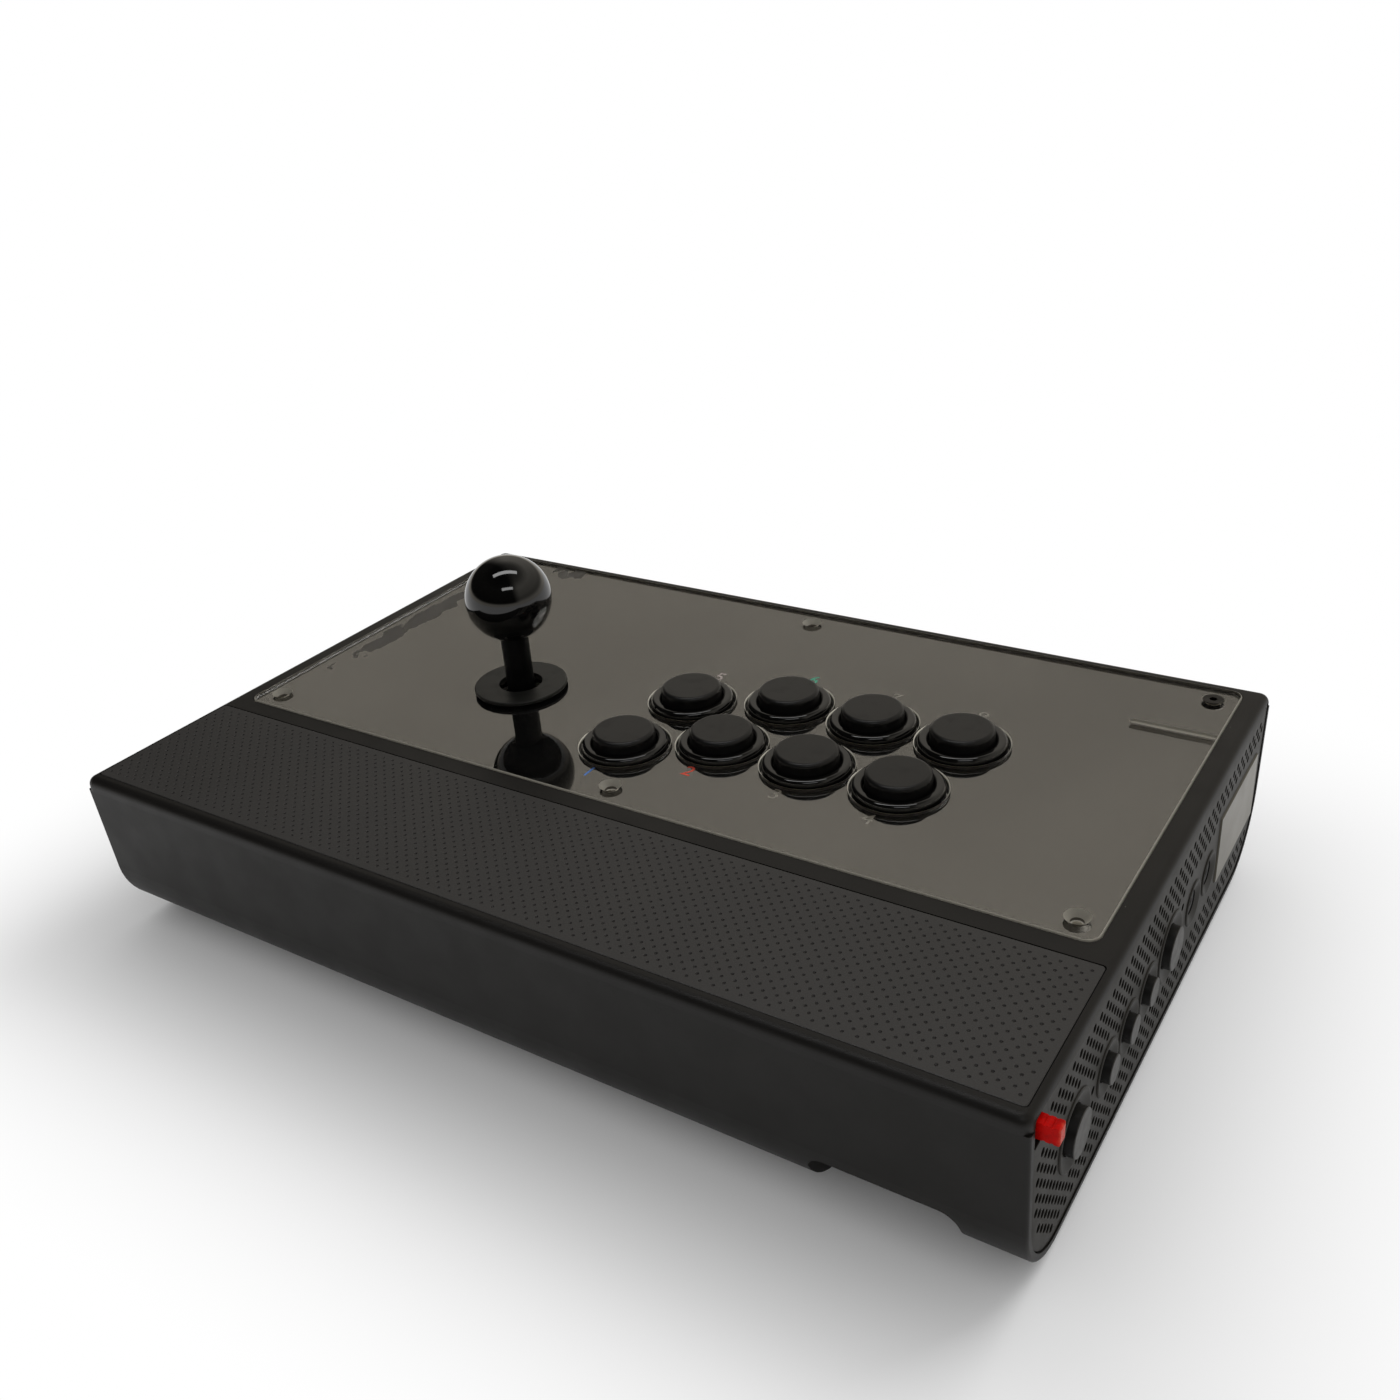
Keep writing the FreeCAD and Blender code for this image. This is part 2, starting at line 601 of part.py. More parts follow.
def control_zones():
    """Places on the right panel that stay free of perforation, as (y, z, half width, half height)."""
    ring = HOLE_CLEAR
    zones = [(y, CONTROL_Z, BIG_RING_D / 2 + ring, BIG_RING_D / 2 + ring) for y in BIG_CAP_Y]
    zones += [(y, CONTROL_Z, SMALL_RING_D / 2 + ring, SMALL_RING_D / 2 + ring) for y in SMALL_CAP_Y]
    middle = (JACK_Y[0] + JACK_Y[1]) / 2
    span = (JACK_Y[1] - JACK_Y[0]) / 2 + JACK_RING_D / 2 + 2 * ring
    zones.append((middle, CONTROL_Z, span, JACK_RING_D / 2 + 2 * ring))
    zones.append((PAD_Y, PAD_Z, PAD_W / 2 + 2 * ring, PAD_H / 2 + 2 * ring))
    reach = KNOB_TRAVEL + KNOB_H / 2 + ring
    zones.append((KNOB_Y, KNOB_Z - KNOB_TRAVEL / 2, KNOB_W / 2 + 2 * ring, reach))
    return zones


def is_free(y, z, zones):
    """Whether a hole at this place is clear of every control: round zones for caps, boxes for the rest."""
    for zone_y, zone_z, half_y, half_z in zones:
        if half_y == half_z:
            if math.hypot(y - zone_y, z - zone_z) < half_y:
                return False
        elif abs(y - zone_y) < half_y and abs(z - zone_z) < half_z:
            return False
    return True


def slot_runs(zones):
    """Slanted runs of perforation as (first, last) hole places, each at most SLOT_HOLES long."""
    field = section(WALL + PANEL_GAP + HOLE_MARGIN, Z_PANEL_TOP - HOLE_MARGIN)
    area = field.BoundBox
    rows = int(area.ZLength / HOLE_STEP)
    lines = int((area.YLength + area.ZLength) / (2 * HOLE_STEP)) + 1
    runs = []
    for line in range(lines):
        run = []
        for row in range(rows + 1):
            z = area.ZMax - row * HOLE_STEP
            y = area.YMin - area.ZLength + line * 2 * HOLE_STEP + row * HOLE_STEP
            inside = field.isInside(vec(0, y, z), 0.01, True) and is_free(y, z, zones)
            if inside:
                run.append((y, z))
            if run and (not inside or row == rows or len(run) == SLOT_HOLES):
                runs.append((run[0], run[-1]))
                run = []
    return runs


def slot_cutter(first, last, x0, x1):
    """Prism for one slanted slot, as wide as a hole."""
    half = HOLE_D / 2
    along = vec(0, 1, -1).normalize() * half
    across = vec(0, 1, 1).normalize() * half
    start = vec(x0, *first) - along
    end = vec(x0, *last) + along
    loop = [start - across, end - across, end + across, start + across, start - across]
    return Part.Face(Part.makePolygon(loop)).extrude(vec(x1 - x0, 0, 0))


def side_panel(side, zones):
    """Perforated end panel, seated in the end of the base."""
    x0, x1 = sorted((side * PANEL_BACK, side * PANEL_FACE))
    panel = prism(section(WALL + PANEL_GAP, Z_PANEL_TOP, PANEL_CORNER), x0, x1)
    cutters = [slot_cutter(a, b, x0 - 1, x1 + 1) for a, b in slot_runs(zones)]
    return panel.cut(Part.makeCompound(cutters))


def left_panel():
    return side_panel(-1, [])


def side_boards():
    """The two boards behind the panel, as (face, front end, rear end)."""
    caps = BIG_CAP_Y + SMALL_CAP_Y
    return [
        (side_board_x(), min(caps) - BOARD_EDGE, max(caps) + BOARD_EDGE),
        (jack_board_x(), min(JACK_Y) - JACK_EDGE, max(JACK_Y) + JACK_EDGE),
    ]


def board_posts(y0, y1):
    """Post places for a board between two ends."""
    inset = POST_D / 2
    z0, z1 = CONTROL_Z - BOARD_H / 2 + inset, CONTROL_Z + BOARD_H / 2 - inset
    return [(y, z) for y in (y0 + inset, y1 - inset) for z in (z0, z1)]


def side_board_x():
    return PANEL_BACK - SIDE_BOARD_DEPTH


def jack_board_x():
    return PANEL_FACE - JACK_SINK - JACK_DEPTH - JACK_BORE / 2


def right_panel():
    """End panel with raised rings, cap holes, pad window, slider slot and board posts."""
    panel = side_panel(1, control_zones())
    rings = [(y, BIG_RING_D) for y in BIG_CAP_Y] + [(y, SMALL_RING_D) for y in SMALL_CAP_Y]
    rings += [(y, JACK_RING_D) for y in JACK_Y]
    solids = [panel]
    for y, diameter in rings:
        disc = rod(diameter, PANEL_T / 2 + RING_RISE, vec(PANEL_FACE - PANEL_T / 2, y, CONTROL_Z), RIGHT)
        rim = [e for e in disc.Edges if e.BoundBox.XMin > PANEL_FACE + RING_RISE - 0.01]
        solids.append(disc.makeFillet(RING_RISE * 0.6, rim))
    for board_x, y0, y1 in side_boards():
        for y, z in board_posts(y0, y1):
            solids.append(rod(POST_D, PANEL_BACK + PANEL_T / 2 - board_x, vec(board_x, y, z), RIGHT))
    panel = fuse(solids)

    depth = PANEL_T + RING_RISE + 2
    start = PANEL_BACK - 1
    cuts = [rod(BIG_CAP_D + 2 * CAP_PLAY, depth, vec(start, y, CONTROL_Z), RIGHT) for y in BIG_CAP_Y]
    cuts += [rod(SMALL_CAP_D + 2 * CAP_PLAY, depth, vec(start, y, CONTROL_Z), RIGHT) for y in SMALL_CAP_Y]
    cuts += [rod(JACK_D + 2 * CAP_PLAY, depth, vec(start, y, CONTROL_Z), RIGHT) for y in JACK_Y]
    cuts.append(box(start, start + depth, PAD_Y - PAD_W / 2 - CAP_PLAY, PAD_Y + PAD_W / 2 + CAP_PLAY,
                    PAD_Z - PAD_H / 2 - CAP_PLAY, PAD_Z + PAD_H / 2 + CAP_PLAY))
    cuts.append(box(start, start + depth, KNOB_Y - KNOB_W / 2 - CAP_PLAY, KNOB_Y + KNOB_W / 2 + CAP_PLAY,
                    KNOB_Z - KNOB_H / 2 - KNOB_TRAVEL - CAP_PLAY, KNOB_Z + KNOB_H / 2 + CAP_PLAY))
    return panel.cut(Part.makeCompound(cuts))


def stem_end_x():
    """Inner end of a side button's stem: full travel plus play above its switch."""
    return side_board_x() + TACT_H + CAP_TRAVEL + CAP_PLAY


def side_button(diameter, y):
    """Cap through the panel, with a flange behind it and a stem to its switch."""
    back = PANEL_BACK - CAP_PLAY
    inner = back - CAP_FLANGE_T
    cap = rod(diameter, PANEL_FACE + CAP_RISE - inner, vec(inner, y, CONTROL_Z), RIGHT)
    rim = [e for e in cap.Edges if e.BoundBox.XMin > PANEL_FACE + CAP_RISE - 0.01]
    cap = cap.makeFillet(RING_RISE * 0.6, rim)
    flange = rod(diameter + 2 * CAP_FLANGE, CAP_FLANGE_T, vec(back - CAP_FLANGE_T, y, CONTROL_Z), RIGHT)
    stem = rod(CAP_STEM_D, back - stem_end_x(), vec(stem_end_x(), y, CONTROL_Z), RIGHT)
    return fuse([cap, flange, stem])


def touch_pad():
    """Smooth raised pad in its window, with a flange behind the panel."""
    back = PANEL_BACK - CAP_PLAY
    pad = box(back - CAP_FLANGE_T, PANEL_FACE + PAD_RISE, PAD_Y - PAD_W / 2, PAD_Y + PAD_W / 2,
              PAD_Z - PAD_H / 2, PAD_Z + PAD_H / 2)
    long_edges = [e for e in pad.Edges if e.BoundBox.XLength > PANEL_T]
    pad = pad.makeFillet(PAD_CORNER / 4, long_edges)
    flange = box(back - CAP_FLANGE_T, back, PAD_Y - PAD_W / 2 - CAP_FLANGE, PAD_Y + PAD_W / 2 + CAP_FLANGE,
                 PAD_Z - PAD_H / 2 - CAP_FLANGE, PAD_Z + PAD_H / 2 + CAP_FLANGE)
    corners = [e for e in flange.Edges if e.BoundBox.XLength > CAP_FLANGE_T / 2]
    return fuse([pad, flange.makeFillet(PAD_CORNER, corners)])


def lock_slider():
    """Ribbed knob on a guide plate behind the panel."""
    back = PANEL_BACK - CAP_PLAY
    tip = PANEL_FACE + KNOB_OUT
    knob = box(back - CAP_FLANGE_T, tip, KNOB_Y - KNOB_W / 2, KNOB_Y + KNOB_W / 2,
               KNOB_Z - KNOB_H / 2, KNOB_Z + KNOB_H / 2)
    outer = [e for e in knob.Edges if e.BoundBox.XMin > tip - 0.01]
    knob = knob.makeFillet(KNOB_W / 8, outer)
    groove = KNOB_W / 5
    for n in (1, 2):
        x = tip - n * KNOB_OUT / 3
        for z in (KNOB_Z - KNOB_H / 2, KNOB_Z + KNOB_H / 2):
            knob = knob.cut(box(x - groove / 2, x + groove / 2, KNOB_Y - KNOB_W, KNOB_Y + KNOB_W,
                                z - groove / 3, z + groove / 3))
    reach = KNOB_PLATE + CAP_PLAY
    guide = box(back - CAP_FLANGE_T, back, KNOB_Y - KNOB_W / 2 - CAP_PLAY, KNOB_Y + KNOB_W / 2 + reach,
                KNOB_Z - KNOB_H / 2 - reach, KNOB_Z + KNOB_H / 2)
    return fuse([knob, guide])


def jack_sockets():
    """Two round sockets, each a barrel in the panel on a square body."""
    solids = []
    face = PANEL_FACE - JACK_SINK
    base = jack_board_x()
    shoulder = PANEL_BACK - CAP_PLAY
    for y in JACK_Y:
        body = box(base, shoulder, y - JACK_BODY / 2, y + JACK_BODY / 2,
                   CONTROL_Z - JACK_BODY / 2, CONTROL_Z + JACK_BODY / 2)
        barrel = rod(JACK_D, face - base, vec(base, y, CONTROL_Z), RIGHT)
        bore = rod(JACK_BORE, JACK_DEPTH, vec(face - JACK_DEPTH, y, CONTROL_Z), RIGHT)
        solids.append(fuse([body, barrel]).cut(bore))
    return Part.makeCompound(solids)


def small_board(board_x, y0, y1):
    return box(board_x - BOARD_T, board_x, y0, y1, CONTROL_Z - BOARD_H / 2, CONTROL_Z + BOARD_H / 2)


def side_switches():
    """Press switches on the side board, one behind each cap."""
    solids = []
    x = side_board_x()
    for y in BIG_CAP_Y + SMALL_CAP_Y:
        body = box(x, x + TACT_H / 2, y - TACT_W / 2, y + TACT_W / 2,
                   CONTROL_Z - TACT_W / 2, CONTROL_Z + TACT_W / 2)
        solids.append(fuse([body, rod(TACT_NUB, TACT_H, vec(x, y, CONTROL_Z), RIGHT)]))
    return Part.makeCompound(solids)


def revolved(points, x, y):
    """Solid of revolution about an upright axis from (radius, height) points."""
    loop = [vec(x + r, y, z) for r, z in points]
    face = Part.Face(Part.makePolygon(loop + loop[:1]))
    return face.revolve(vec(x, y, 0), UP, 360)


def barrel_bottom():
    return Z_SHEET - BARREL_L


def button_rim(x, y):
    """Gloss rim with a collar for the plunger and a barrel through the control plate."""
    top = Z_TOP + RIM_RISE
    bore = PLUNGER_D / 2 + PLUNGER_PLAY
    barrel = BARREL_D / 2
    inner = barrel - BARREL_WALL
    low = barrel_bottom()
    rim = revolved([
        (bore, top), (RIM_D / 2, top), (RIM_D / 2, Z_PLATE), (barrel, Z_PLATE),
        (barrel, low), (STEM_D / 2 + 1, low), (STEM_D / 2 + 1, low + BARREL_WEB), (inner, low + BARREL_WEB),
        (inner, top - RIM_LIP), (bore, top - RIM_LIP),
    ], x, y)
    edge = [e for e in rim.Edges if e.BoundBox.ZMin > top - 0.01]
    return rim.makeFillet(RIM_ROUND, edge)


def button_plunger(x, y):
    """Plunger with a rounded top edge, a retaining flange and a stem to the switch."""
    top = Z_TOP + PLUNGER_RISE
    shoulder = Z_TOP + RIM_RISE - RIM_LIP - PLUNGER_PLAY
    skirt = shoulder - PLUNGER_SKIRT
    outer = PLUNGER_D / 2
    flange = outer + PLUNGER_FLANGE
    hollow = outer - PLUNGER_WALL
    stem = STEM_D / 2
    stem_end = barrel_bottom() + SWITCH_NUB_H + BUTTON_TRAVEL + PLUNGER_PLAY
    plunger = revolved([
        (0, stem_end), (stem, stem_end), (stem, top - PLUNGER_TOP_T), (hollow, top - PLUNGER_TOP_T),
        (hollow, skirt), (outer, skirt), (outer, shoulder - PLUNGER_FLANGE_T),
        (flange, shoulder - PLUNGER_FLANGE_T), (flange, shoulder), (outer, shoulder), (outer, top), (0, top),
    ], x, y)
    edge = [e for e in plunger.Edges if e.BoundBox.ZMin > top - 0.01 and e.Length > PLUNGER_D]
    return plunger.makeFillet(PLUNGER_ROUND, edge)


def button_switches():
    """One switch under each barrel, its nub in the barrel's web."""
    solids = []
    low = barrel_bottom()
    for x, y in button_places():
        body = box(x - SWITCH_W / 2, x + SWITCH_W / 2, y - SWITCH_D / 2, y + SWITCH_D / 2, low - SWITCH_H, low)
        solids.append(fuse([body, rod(SWITCH_NUB_D, SWITCH_NUB_H + 1, vec(x, y, low - 1))]))
    return Part.makeCompound(solids)


def diagonal_tilt():
    """Steepest lean of the shaft, with both tilts at their limit, as a tangent."""
    return math.sqrt(2) * math.tan(math.radians(LEVER_TILT))


def at_lever(dx, dy, z):
    return vec(LEVER_X + dx, LEVER_Y + dy, z)


def lever_box(half_x, half_y, z0, z1):
    return box(LEVER_X - half_x, LEVER_X + half_x, LEVER_Y - half_y, LEVER_Y + half_y, z0, z1)


def bolt_places():
    dx = LEVER_PLATE_W / 2 - BOLT_EDGE
    dy = LEVER_PLATE_D / 2 - BOLT_EDGE
    return [(LEVER_X + sx * dx, LEVER_Y + sy * dy) for sx in (-1, 1) for sy in (-1, 1)]


def ball_centre():
    return Z_TOP + BALL_Z


def ball_seat():
    """Height of the flat under the ball, where the sleeve ends."""
    return ball_centre() - BALL_D / 2 + BALL_FLAT


def lever_ball():
    """Ball top with a flat and a blind bore for the shaft's tip."""
    ball = Part.makeSphere(BALL_D / 2, at_lever(0, 0, ball_centre()))
    ball = ball.cut(lever_box(BALL_D, BALL_D, ball_seat() - BALL_D, ball_seat()))
    return ball.cut(rod(SHAFT_TIP_D, SHAFT_TIP_L + 1, at_lever(0, 0, ball_seat() - 1)))


def shaft_cover():
    """Sleeve over the shaft, from the flat under the ball down past the clear plate."""
    low = PIVOT_Z + SLEEVE_BELOW
    sleeve = rod(SLEEVE_D, ball_seat() - low, at_lever(0, 0, low))
    return sleeve.cut(rod(SHAFT_D + 2 * SLEEVE_PLAY, ball_seat() - low, at_lever(0, 0, low)))


def clip_z():
    return PIVOT_Z - ACTUATOR_TOP - ACTUATOR_L - CLIP_GAP - CLIP_T


def lever_shaft():
    """Steel shaft with a reduced tip, a cross hole at the pivot and a groove for the clip."""
    low = clip_z() - SHAFT_END
    shaft = fuse([
        rod(SHAFT_D, ball_seat() - low, at_lever(0, 0, low)),
        rod(SHAFT_TIP_D, SHAFT_TIP_L + 1, at_lever(0, 0, ball_seat() - 1)),
    ])
    cross = rod(PIVOT_PIN_D, SHAFT_D + 2, at_lever(0, -SHAFT_D / 2 - 1, PIVOT_Z), REARWARD)
    groove = rod(SHAFT_D + 2, CLIP_T, at_lever(0, 0, clip_z()))
    groove = groove.cut(rod(SHAFT_TIP_D, CLIP_T, at_lever(0, 0, clip_z())))
    return shaft.cut(Part.makeCompound([cross, groove]))


def pivot_pin():
    """Pin across the shaft, its ends in the pivot ring."""
    return rod(PIVOT_PIN_D, RING_OD - 1, at_lever(0, -(RING_OD - 1) / 2, PIVOT_Z), REARWARD)


def pivot_ring():
    """Ring that tilts fore and aft on two trunnions and carries the shaft's cross pin."""
    low = PIVOT_Z - RING_H / 2
    reach = RING_OD / 2 + TRUNNION_L
    trunnions = rod(TRUNNION_D, 2 * reach, at_lever(-reach, 0, PIVOT_Z), RIGHT)
    ring = fuse([rod(RING_OD, RING_H, at_lever(0, 0, low)), trunnions])
    bore = rod(RING_ID, RING_H, at_lever(0, 0, low))
    pin = rod(PIVOT_PIN_D + 2 * PIVOT_FIT, RING_OD, at_lever(0, -RING_OD / 2, PIVOT_Z), REARWARD)
    return ring.cut(Part.makeCompound([bore, pin]))


def lever_actuator():
    """Collar near the shaft's lower end that presses the switches and meets the gate."""
    top = PIVOT_Z - ACTUATOR_TOP
    collar = fuse([
        rod(ACTUATOR_D, ACTUATOR_L, at_lever(0, 0, top - ACTUATOR_L)),
        rod(ACTUATOR_FLANGE_D, ACTUATOR_FLANGE_T, at_lever(0, 0, top - ACTUATOR_FLANGE_T)),
    ])
    return collar.cut(rod(SHAFT_D + 2 * SLEEVE_PLAY, ACTUATOR_L + 2, at_lever(0, 0, top - ACTUATOR_L - 1)))


def lever_clip():
    """Open retaining clip in the shaft's groove."""
    clip = rod(CLIP_D, CLIP_T, at_lever(0, 0, clip_z()))
    mouth = lever_box(SHAFT_TIP_D / 2, CLIP_D, clip_z(), clip_z() + CLIP_T)
    mouth = mouth.cut(lever_box(CLIP_D, CLIP_D, clip_z(), clip_z() + CLIP_T).translated(vec(0, -CLIP_D, 0)))
    return clip.cut(rod(SHAFT_TIP_D, CLIP_T, at_lever(0, 0, clip_z()))).cut(mouth)


def dust_washer():
    """Thin disc on the clear plate, with room for the sleeve at its steepest."""
    top = Z_TOP + WASHER_T
    lean = diagonal_tilt()
    reach = SLEEVE_D / 2 * math.hypot(1, lean) + (top - PIVOT_Z) * lean + LEVER_PLAY
    washer = rod(WASHER_D, WASHER_T, at_lever(0, 0, Z_TOP))
    rim = [e for e in washer.Edges if e.BoundBox.ZMin > top - 0.01]
    washer = washer.makeFillet(WASHER_T / 3, rim)
    return washer.cut(rod(2 * reach, WASHER_T, at_lever(0, 0, Z_TOP)))


def lever_plate():
    """Steel mounting plate under the control plate."""
    top = Z_CONTROL
    plate = rounded_box(LEVER_X - LEVER_PLATE_W / 2, LEVER_X + LEVER_PLATE_W / 2,
                        LEVER_Y - LEVER_PLATE_D / 2, LEVER_Y + LEVER_PLATE_D / 2,
                        top - LEVER_PLATE_T, top, BOLT_EDGE / 2)
    holes = [rod(LEVER_HOLE, LEVER_PLATE_T, at_lever(0, 0, top - LEVER_PLATE_T))]
    holes += [rod(BOLT_D, LEVER_PLATE_T, vec(x, y, top - LEVER_PLATE_T)) for x, y in bolt_places()]
    return plate.cut(Part.makeCompound(holes))


def lever_bolts():
    """Studs that hold the mounting plate to the control plate, with nuts below."""
    solids = []
    low = Z_CONTROL - LEVER_PLATE_T
    for x, y in bolt_places():
        nut = rod(BOLT_HEAD_D, BOLT_HEAD_H, vec(x, y, low - BOLT_HEAD_H))
        solids.append(fuse([nut, rod(BOLT_D, LEVER_PLATE_T + CONTROL_T + 1, vec(x, y, low - 1))]))
    return Part.makeCompound(solids)


def case_levels():
    """Top, web top, web bottom and lower end of the lever body."""
    top = Z_CONTROL - LEVER_PLATE_T
    web = PIVOT_Z - CASE_WEB_Z
    return top, web + CASE_WEB_T, web, top - CASE_H


def lever_body():
    """Moulded body: pivot chamber above a web, switch chamber below it."""
    top, web_top, web, low = case_levels()
    half = CASE_W / 2
    chamber = RING_OD / 2 + 2 * LEVER_PLAY
    body = rounded_box(LEVER_X - half, LEVER_X + half, LEVER_Y - half, LEVER_Y + half, low, top, CASE_WALL)
    inner = half - CASE_WALL
    waist = chamber + TRUNNION_L + CASE_WALL
    passage = SHAFT_D / 2 * math.hypot(1, diagonal_tilt()) + (PIVOT_Z - web) * diagonal_tilt() + LEVER_PLAY
    cuts = [
        lever_box(chamber, chamber, web_top, top + 1),
        lever_box(inner, inner, low - 1, web),
        rod(2 * passage, CASE_WEB_T + 2, at_lever(0, 0, web - 1)),
        rod(TRUNNION_D + 2 * PIVOT_FIT, 2 * waist, at_lever(-waist, 0, PIVOT_Z), RIGHT),
    ]
    for sx in (-1, 1):
        shelf = box(0, half - waist + 1, -half - 1, half + 1, web_top, top - CASE_WALL)
        x = LEVER_X + (waist if sx > 0 else -half - 1)
        cuts.append(shelf.translated(vec(x, LEVER_Y, 0)))
    return body.cut(Part.makeCompound(cuts))


def lever_gate():
    """Square gate that limits the actuator, under the lever body."""
    low = case_levels()[3]
    half = CASE_W / 2
    throw = (PIVOT_Z - low + GATE_T) * math.tan(math.radians(LEVER_TILT))
    opening = ACTUATOR_D / 2 + throw + LEVER_PLAY
    gate = rounded_box(LEVER_X - half, LEVER_X + half, LEVER_Y - half, LEVER_Y + half, low - GATE_T, low,
                       CASE_WALL)
    return gate.cut(lever_box(opening, opening, low - GATE_T - 1, low + 1))


def lever_switches():
    """Four switches on the walls of the lower chamber, their nubs towards the actuator."""
    web = case_levels()[2]
    wall = CASE_W / 2 - CASE_WALL
    middle = PIVOT_Z - ACTUATOR_TOP - ACTUATOR_FLANGE_T - LEVER_SWITCH_H / 2
    swing = (PIVOT_Z - middle + LEVER_NUB) * math.tan(math.radians(LEVER_TILT))
    reach = ACTUATOR_D / 2 + swing + 2 * LEVER_PLAY
    solids = []
    for angle in (0, 90, 180, 270):
        body = box(wall - LEVER_SWITCH_T, wall, -LEVER_SWITCH_W / 2, LEVER_SWITCH_W / 2,
                   middle - LEVER_SWITCH_H / 2, min(middle + LEVER_SWITCH_H / 2, web))
        nub = box(reach, wall - LEVER_SWITCH_T / 2, -LEVER_NUB / 2, LEVER_NUB / 2,
                  middle - LEVER_NUB / 2, middle + LEVER_NUB / 2)
        switch = fuse([body, nub])
        switch.rotate(vec(0, 0, 0), UP, angle)
        solids.append(switch.translated(vec(LEVER_X, LEVER_Y, 0)))
    return Part.makeCompound(solids)


def lever_spring():
    """Return spring between the web and the actuator's flange."""
    low = PIVOT_Z - ACTUATOR_TOP + SPRING_WIRE / 2
    height = ACTUATOR_TOP - CASE_WEB_Z - SPRING_WIRE
    helix = Part.makeHelix(height / SPRING_TURNS, height, SPRING_D / 2)
    start = vec(SPRING_D / 2, 0, 0)
    circle = Part.Wire(Part.makeCircle(SPRING_WIRE / 2, start, REARWARD))
    coil = Part.Wire(helix).makePipeShell([circle], True, True)
    return coil.translated(at_lever(0, 0, low))


def main_board():
    """Control board on four floor posts."""
    low = Z_FLOOR + MAIN_RISE
    board = box(MAIN_X - MAIN_W / 2, MAIN_X + MAIN_W / 2, MAIN_Y - MAIN_D / 2, MAIN_Y + MAIN_D / 2,
                low, low + BOARD_T)
    holes = [rod(MAIN_HOLE, BOARD_T, vec(x, y, low)) for x, y in main_posts()]
    return board.cut(Part.makeCompound(holes))


def usb_inlet():
    """Metal shell of the cable inlet with its tongue, set back in the rear wall."""
    face = wall_y(INLET_Z, True) - INLET_SINK
    shell = box(INLET_X - INLET_W / 2, INLET_X + INLET_W / 2, face - INLET_L, face,
                INLET_Z - INLET_H / 2, INLET_Z + INLET_H / 2)
    space = box(INLET_X - INLET_W / 2 + INLET_T, INLET_X + INLET_W / 2 - INLET_T, face - INLET_L + 2 * INLET_T,
                face + 1, INLET_Z - INLET_H / 2 + INLET_T, INLET_Z + INLET_H / 2 - INLET_T)
    tongue = box(INLET_X - INLET_W / 3, INLET_X + INLET_W / 3, face - INLET_L + INLET_T, face - 1,
                 INLET_Z - INLET_TONGUE / 2, INLET_Z + INLET_TONGUE / 2)
    return fuse([shell.cut(space), tongue])


def build():
    """Every piece by the name of its node."""
    pieces = {
        "base_shell": base_shell(),
        "top_cover": top_cover(),
        "acrylic_plate": acrylic_plate(),
        "art_sheet": art_sheet(),
        "control_plate": control_plate(),
        "plate_inserts": plate_inserts(),
        "plate_screw": plate_screw(),
        "wrist_rest": wrist_rest(),
        "base_screws": base_screws(),
        "rubber_feet": rubber_feet(),
        "left_panel": left_panel(),
        "right_panel": right_panel(),
        "touch_pad": touch_pad(),
        "lock_slider": lock_slider(),
        "jack_sockets": jack_sockets(),
        "side_board": small_board(*side_boards()[0]),
        "jack_board": small_board(*side_boards()[1]),
        "side_switches": side_switches(),
        "button_switches": button_switches(),
        "lever_ball": lever_ball(),
        "shaft_cover": shaft_cover(),
        "lever_shaft": lever_shaft(),
        "pivot_pin": pivot_pin(),
        "pivot_ring": pivot_ring(),
        "lever_actuator": lever_actuator(),
        "lever_clip": lever_clip(),
        "dust_washer": dust_washer(),
        "lever_plate": lever_plate(),
        "lever_bolts": lever_bolts(),
        "lever_body": lever_body(),
        "lever_gate": lever_gate(),
        "lever_switches": lever_switches(),
        "lever_spring": lever_spring(),
        "main_board": main_board(),
        "usb_inlet": usb_inlet(),
    }
    for n, y in enumerate(BIG_CAP_Y, 1):
        pieces[f"side_button_large_{n}"] = side_button(BIG_CAP_D, y)
    for n, y in enumerate(SMALL_CAP_Y, 1):
        pieces[f"side_button_small_{n}"] = side_button(SMALL_CAP_D, y)
    for n, (x, y) in enumerate(button_places(), 1):
        pieces[f"button_rim_{n}"] = button_rim(x, y)
        pieces[f"button_plunger_{n}"] = button_plunger(x, y)
    return pieces


def main():
    os.makedirs("parts", exist_ok=True)
    for name, shape in build().items():
        shape.translated(vec(HOUSING_X, 0, 0)).exportStep(f"parts/{name}.step")


main()
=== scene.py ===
"""Looks of an arcade stick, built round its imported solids.

The solids give every shape and place. The classes below add what solids alone don't show: the round
perforation of both end panels, the dimples of the wrist rest, the cut edges of the clear plate, the film
under it with its small printed numbers, and a finish for every surface. Lengths are in metres, in the frame
of the solids.
"""

import logging
import math
from dataclasses import dataclass
from enum import Enum
from functools import cached_property, lru_cache
from typing import Callable, Optional, Sequence, Union

import bmesh
import bpy
from bpy.types import ID, Material, Mesh, Node, NodeSocket, NodeTree, Object
from mathutils import Matrix, Vector
from mathutils.geometry import delaunay_2d_cdt


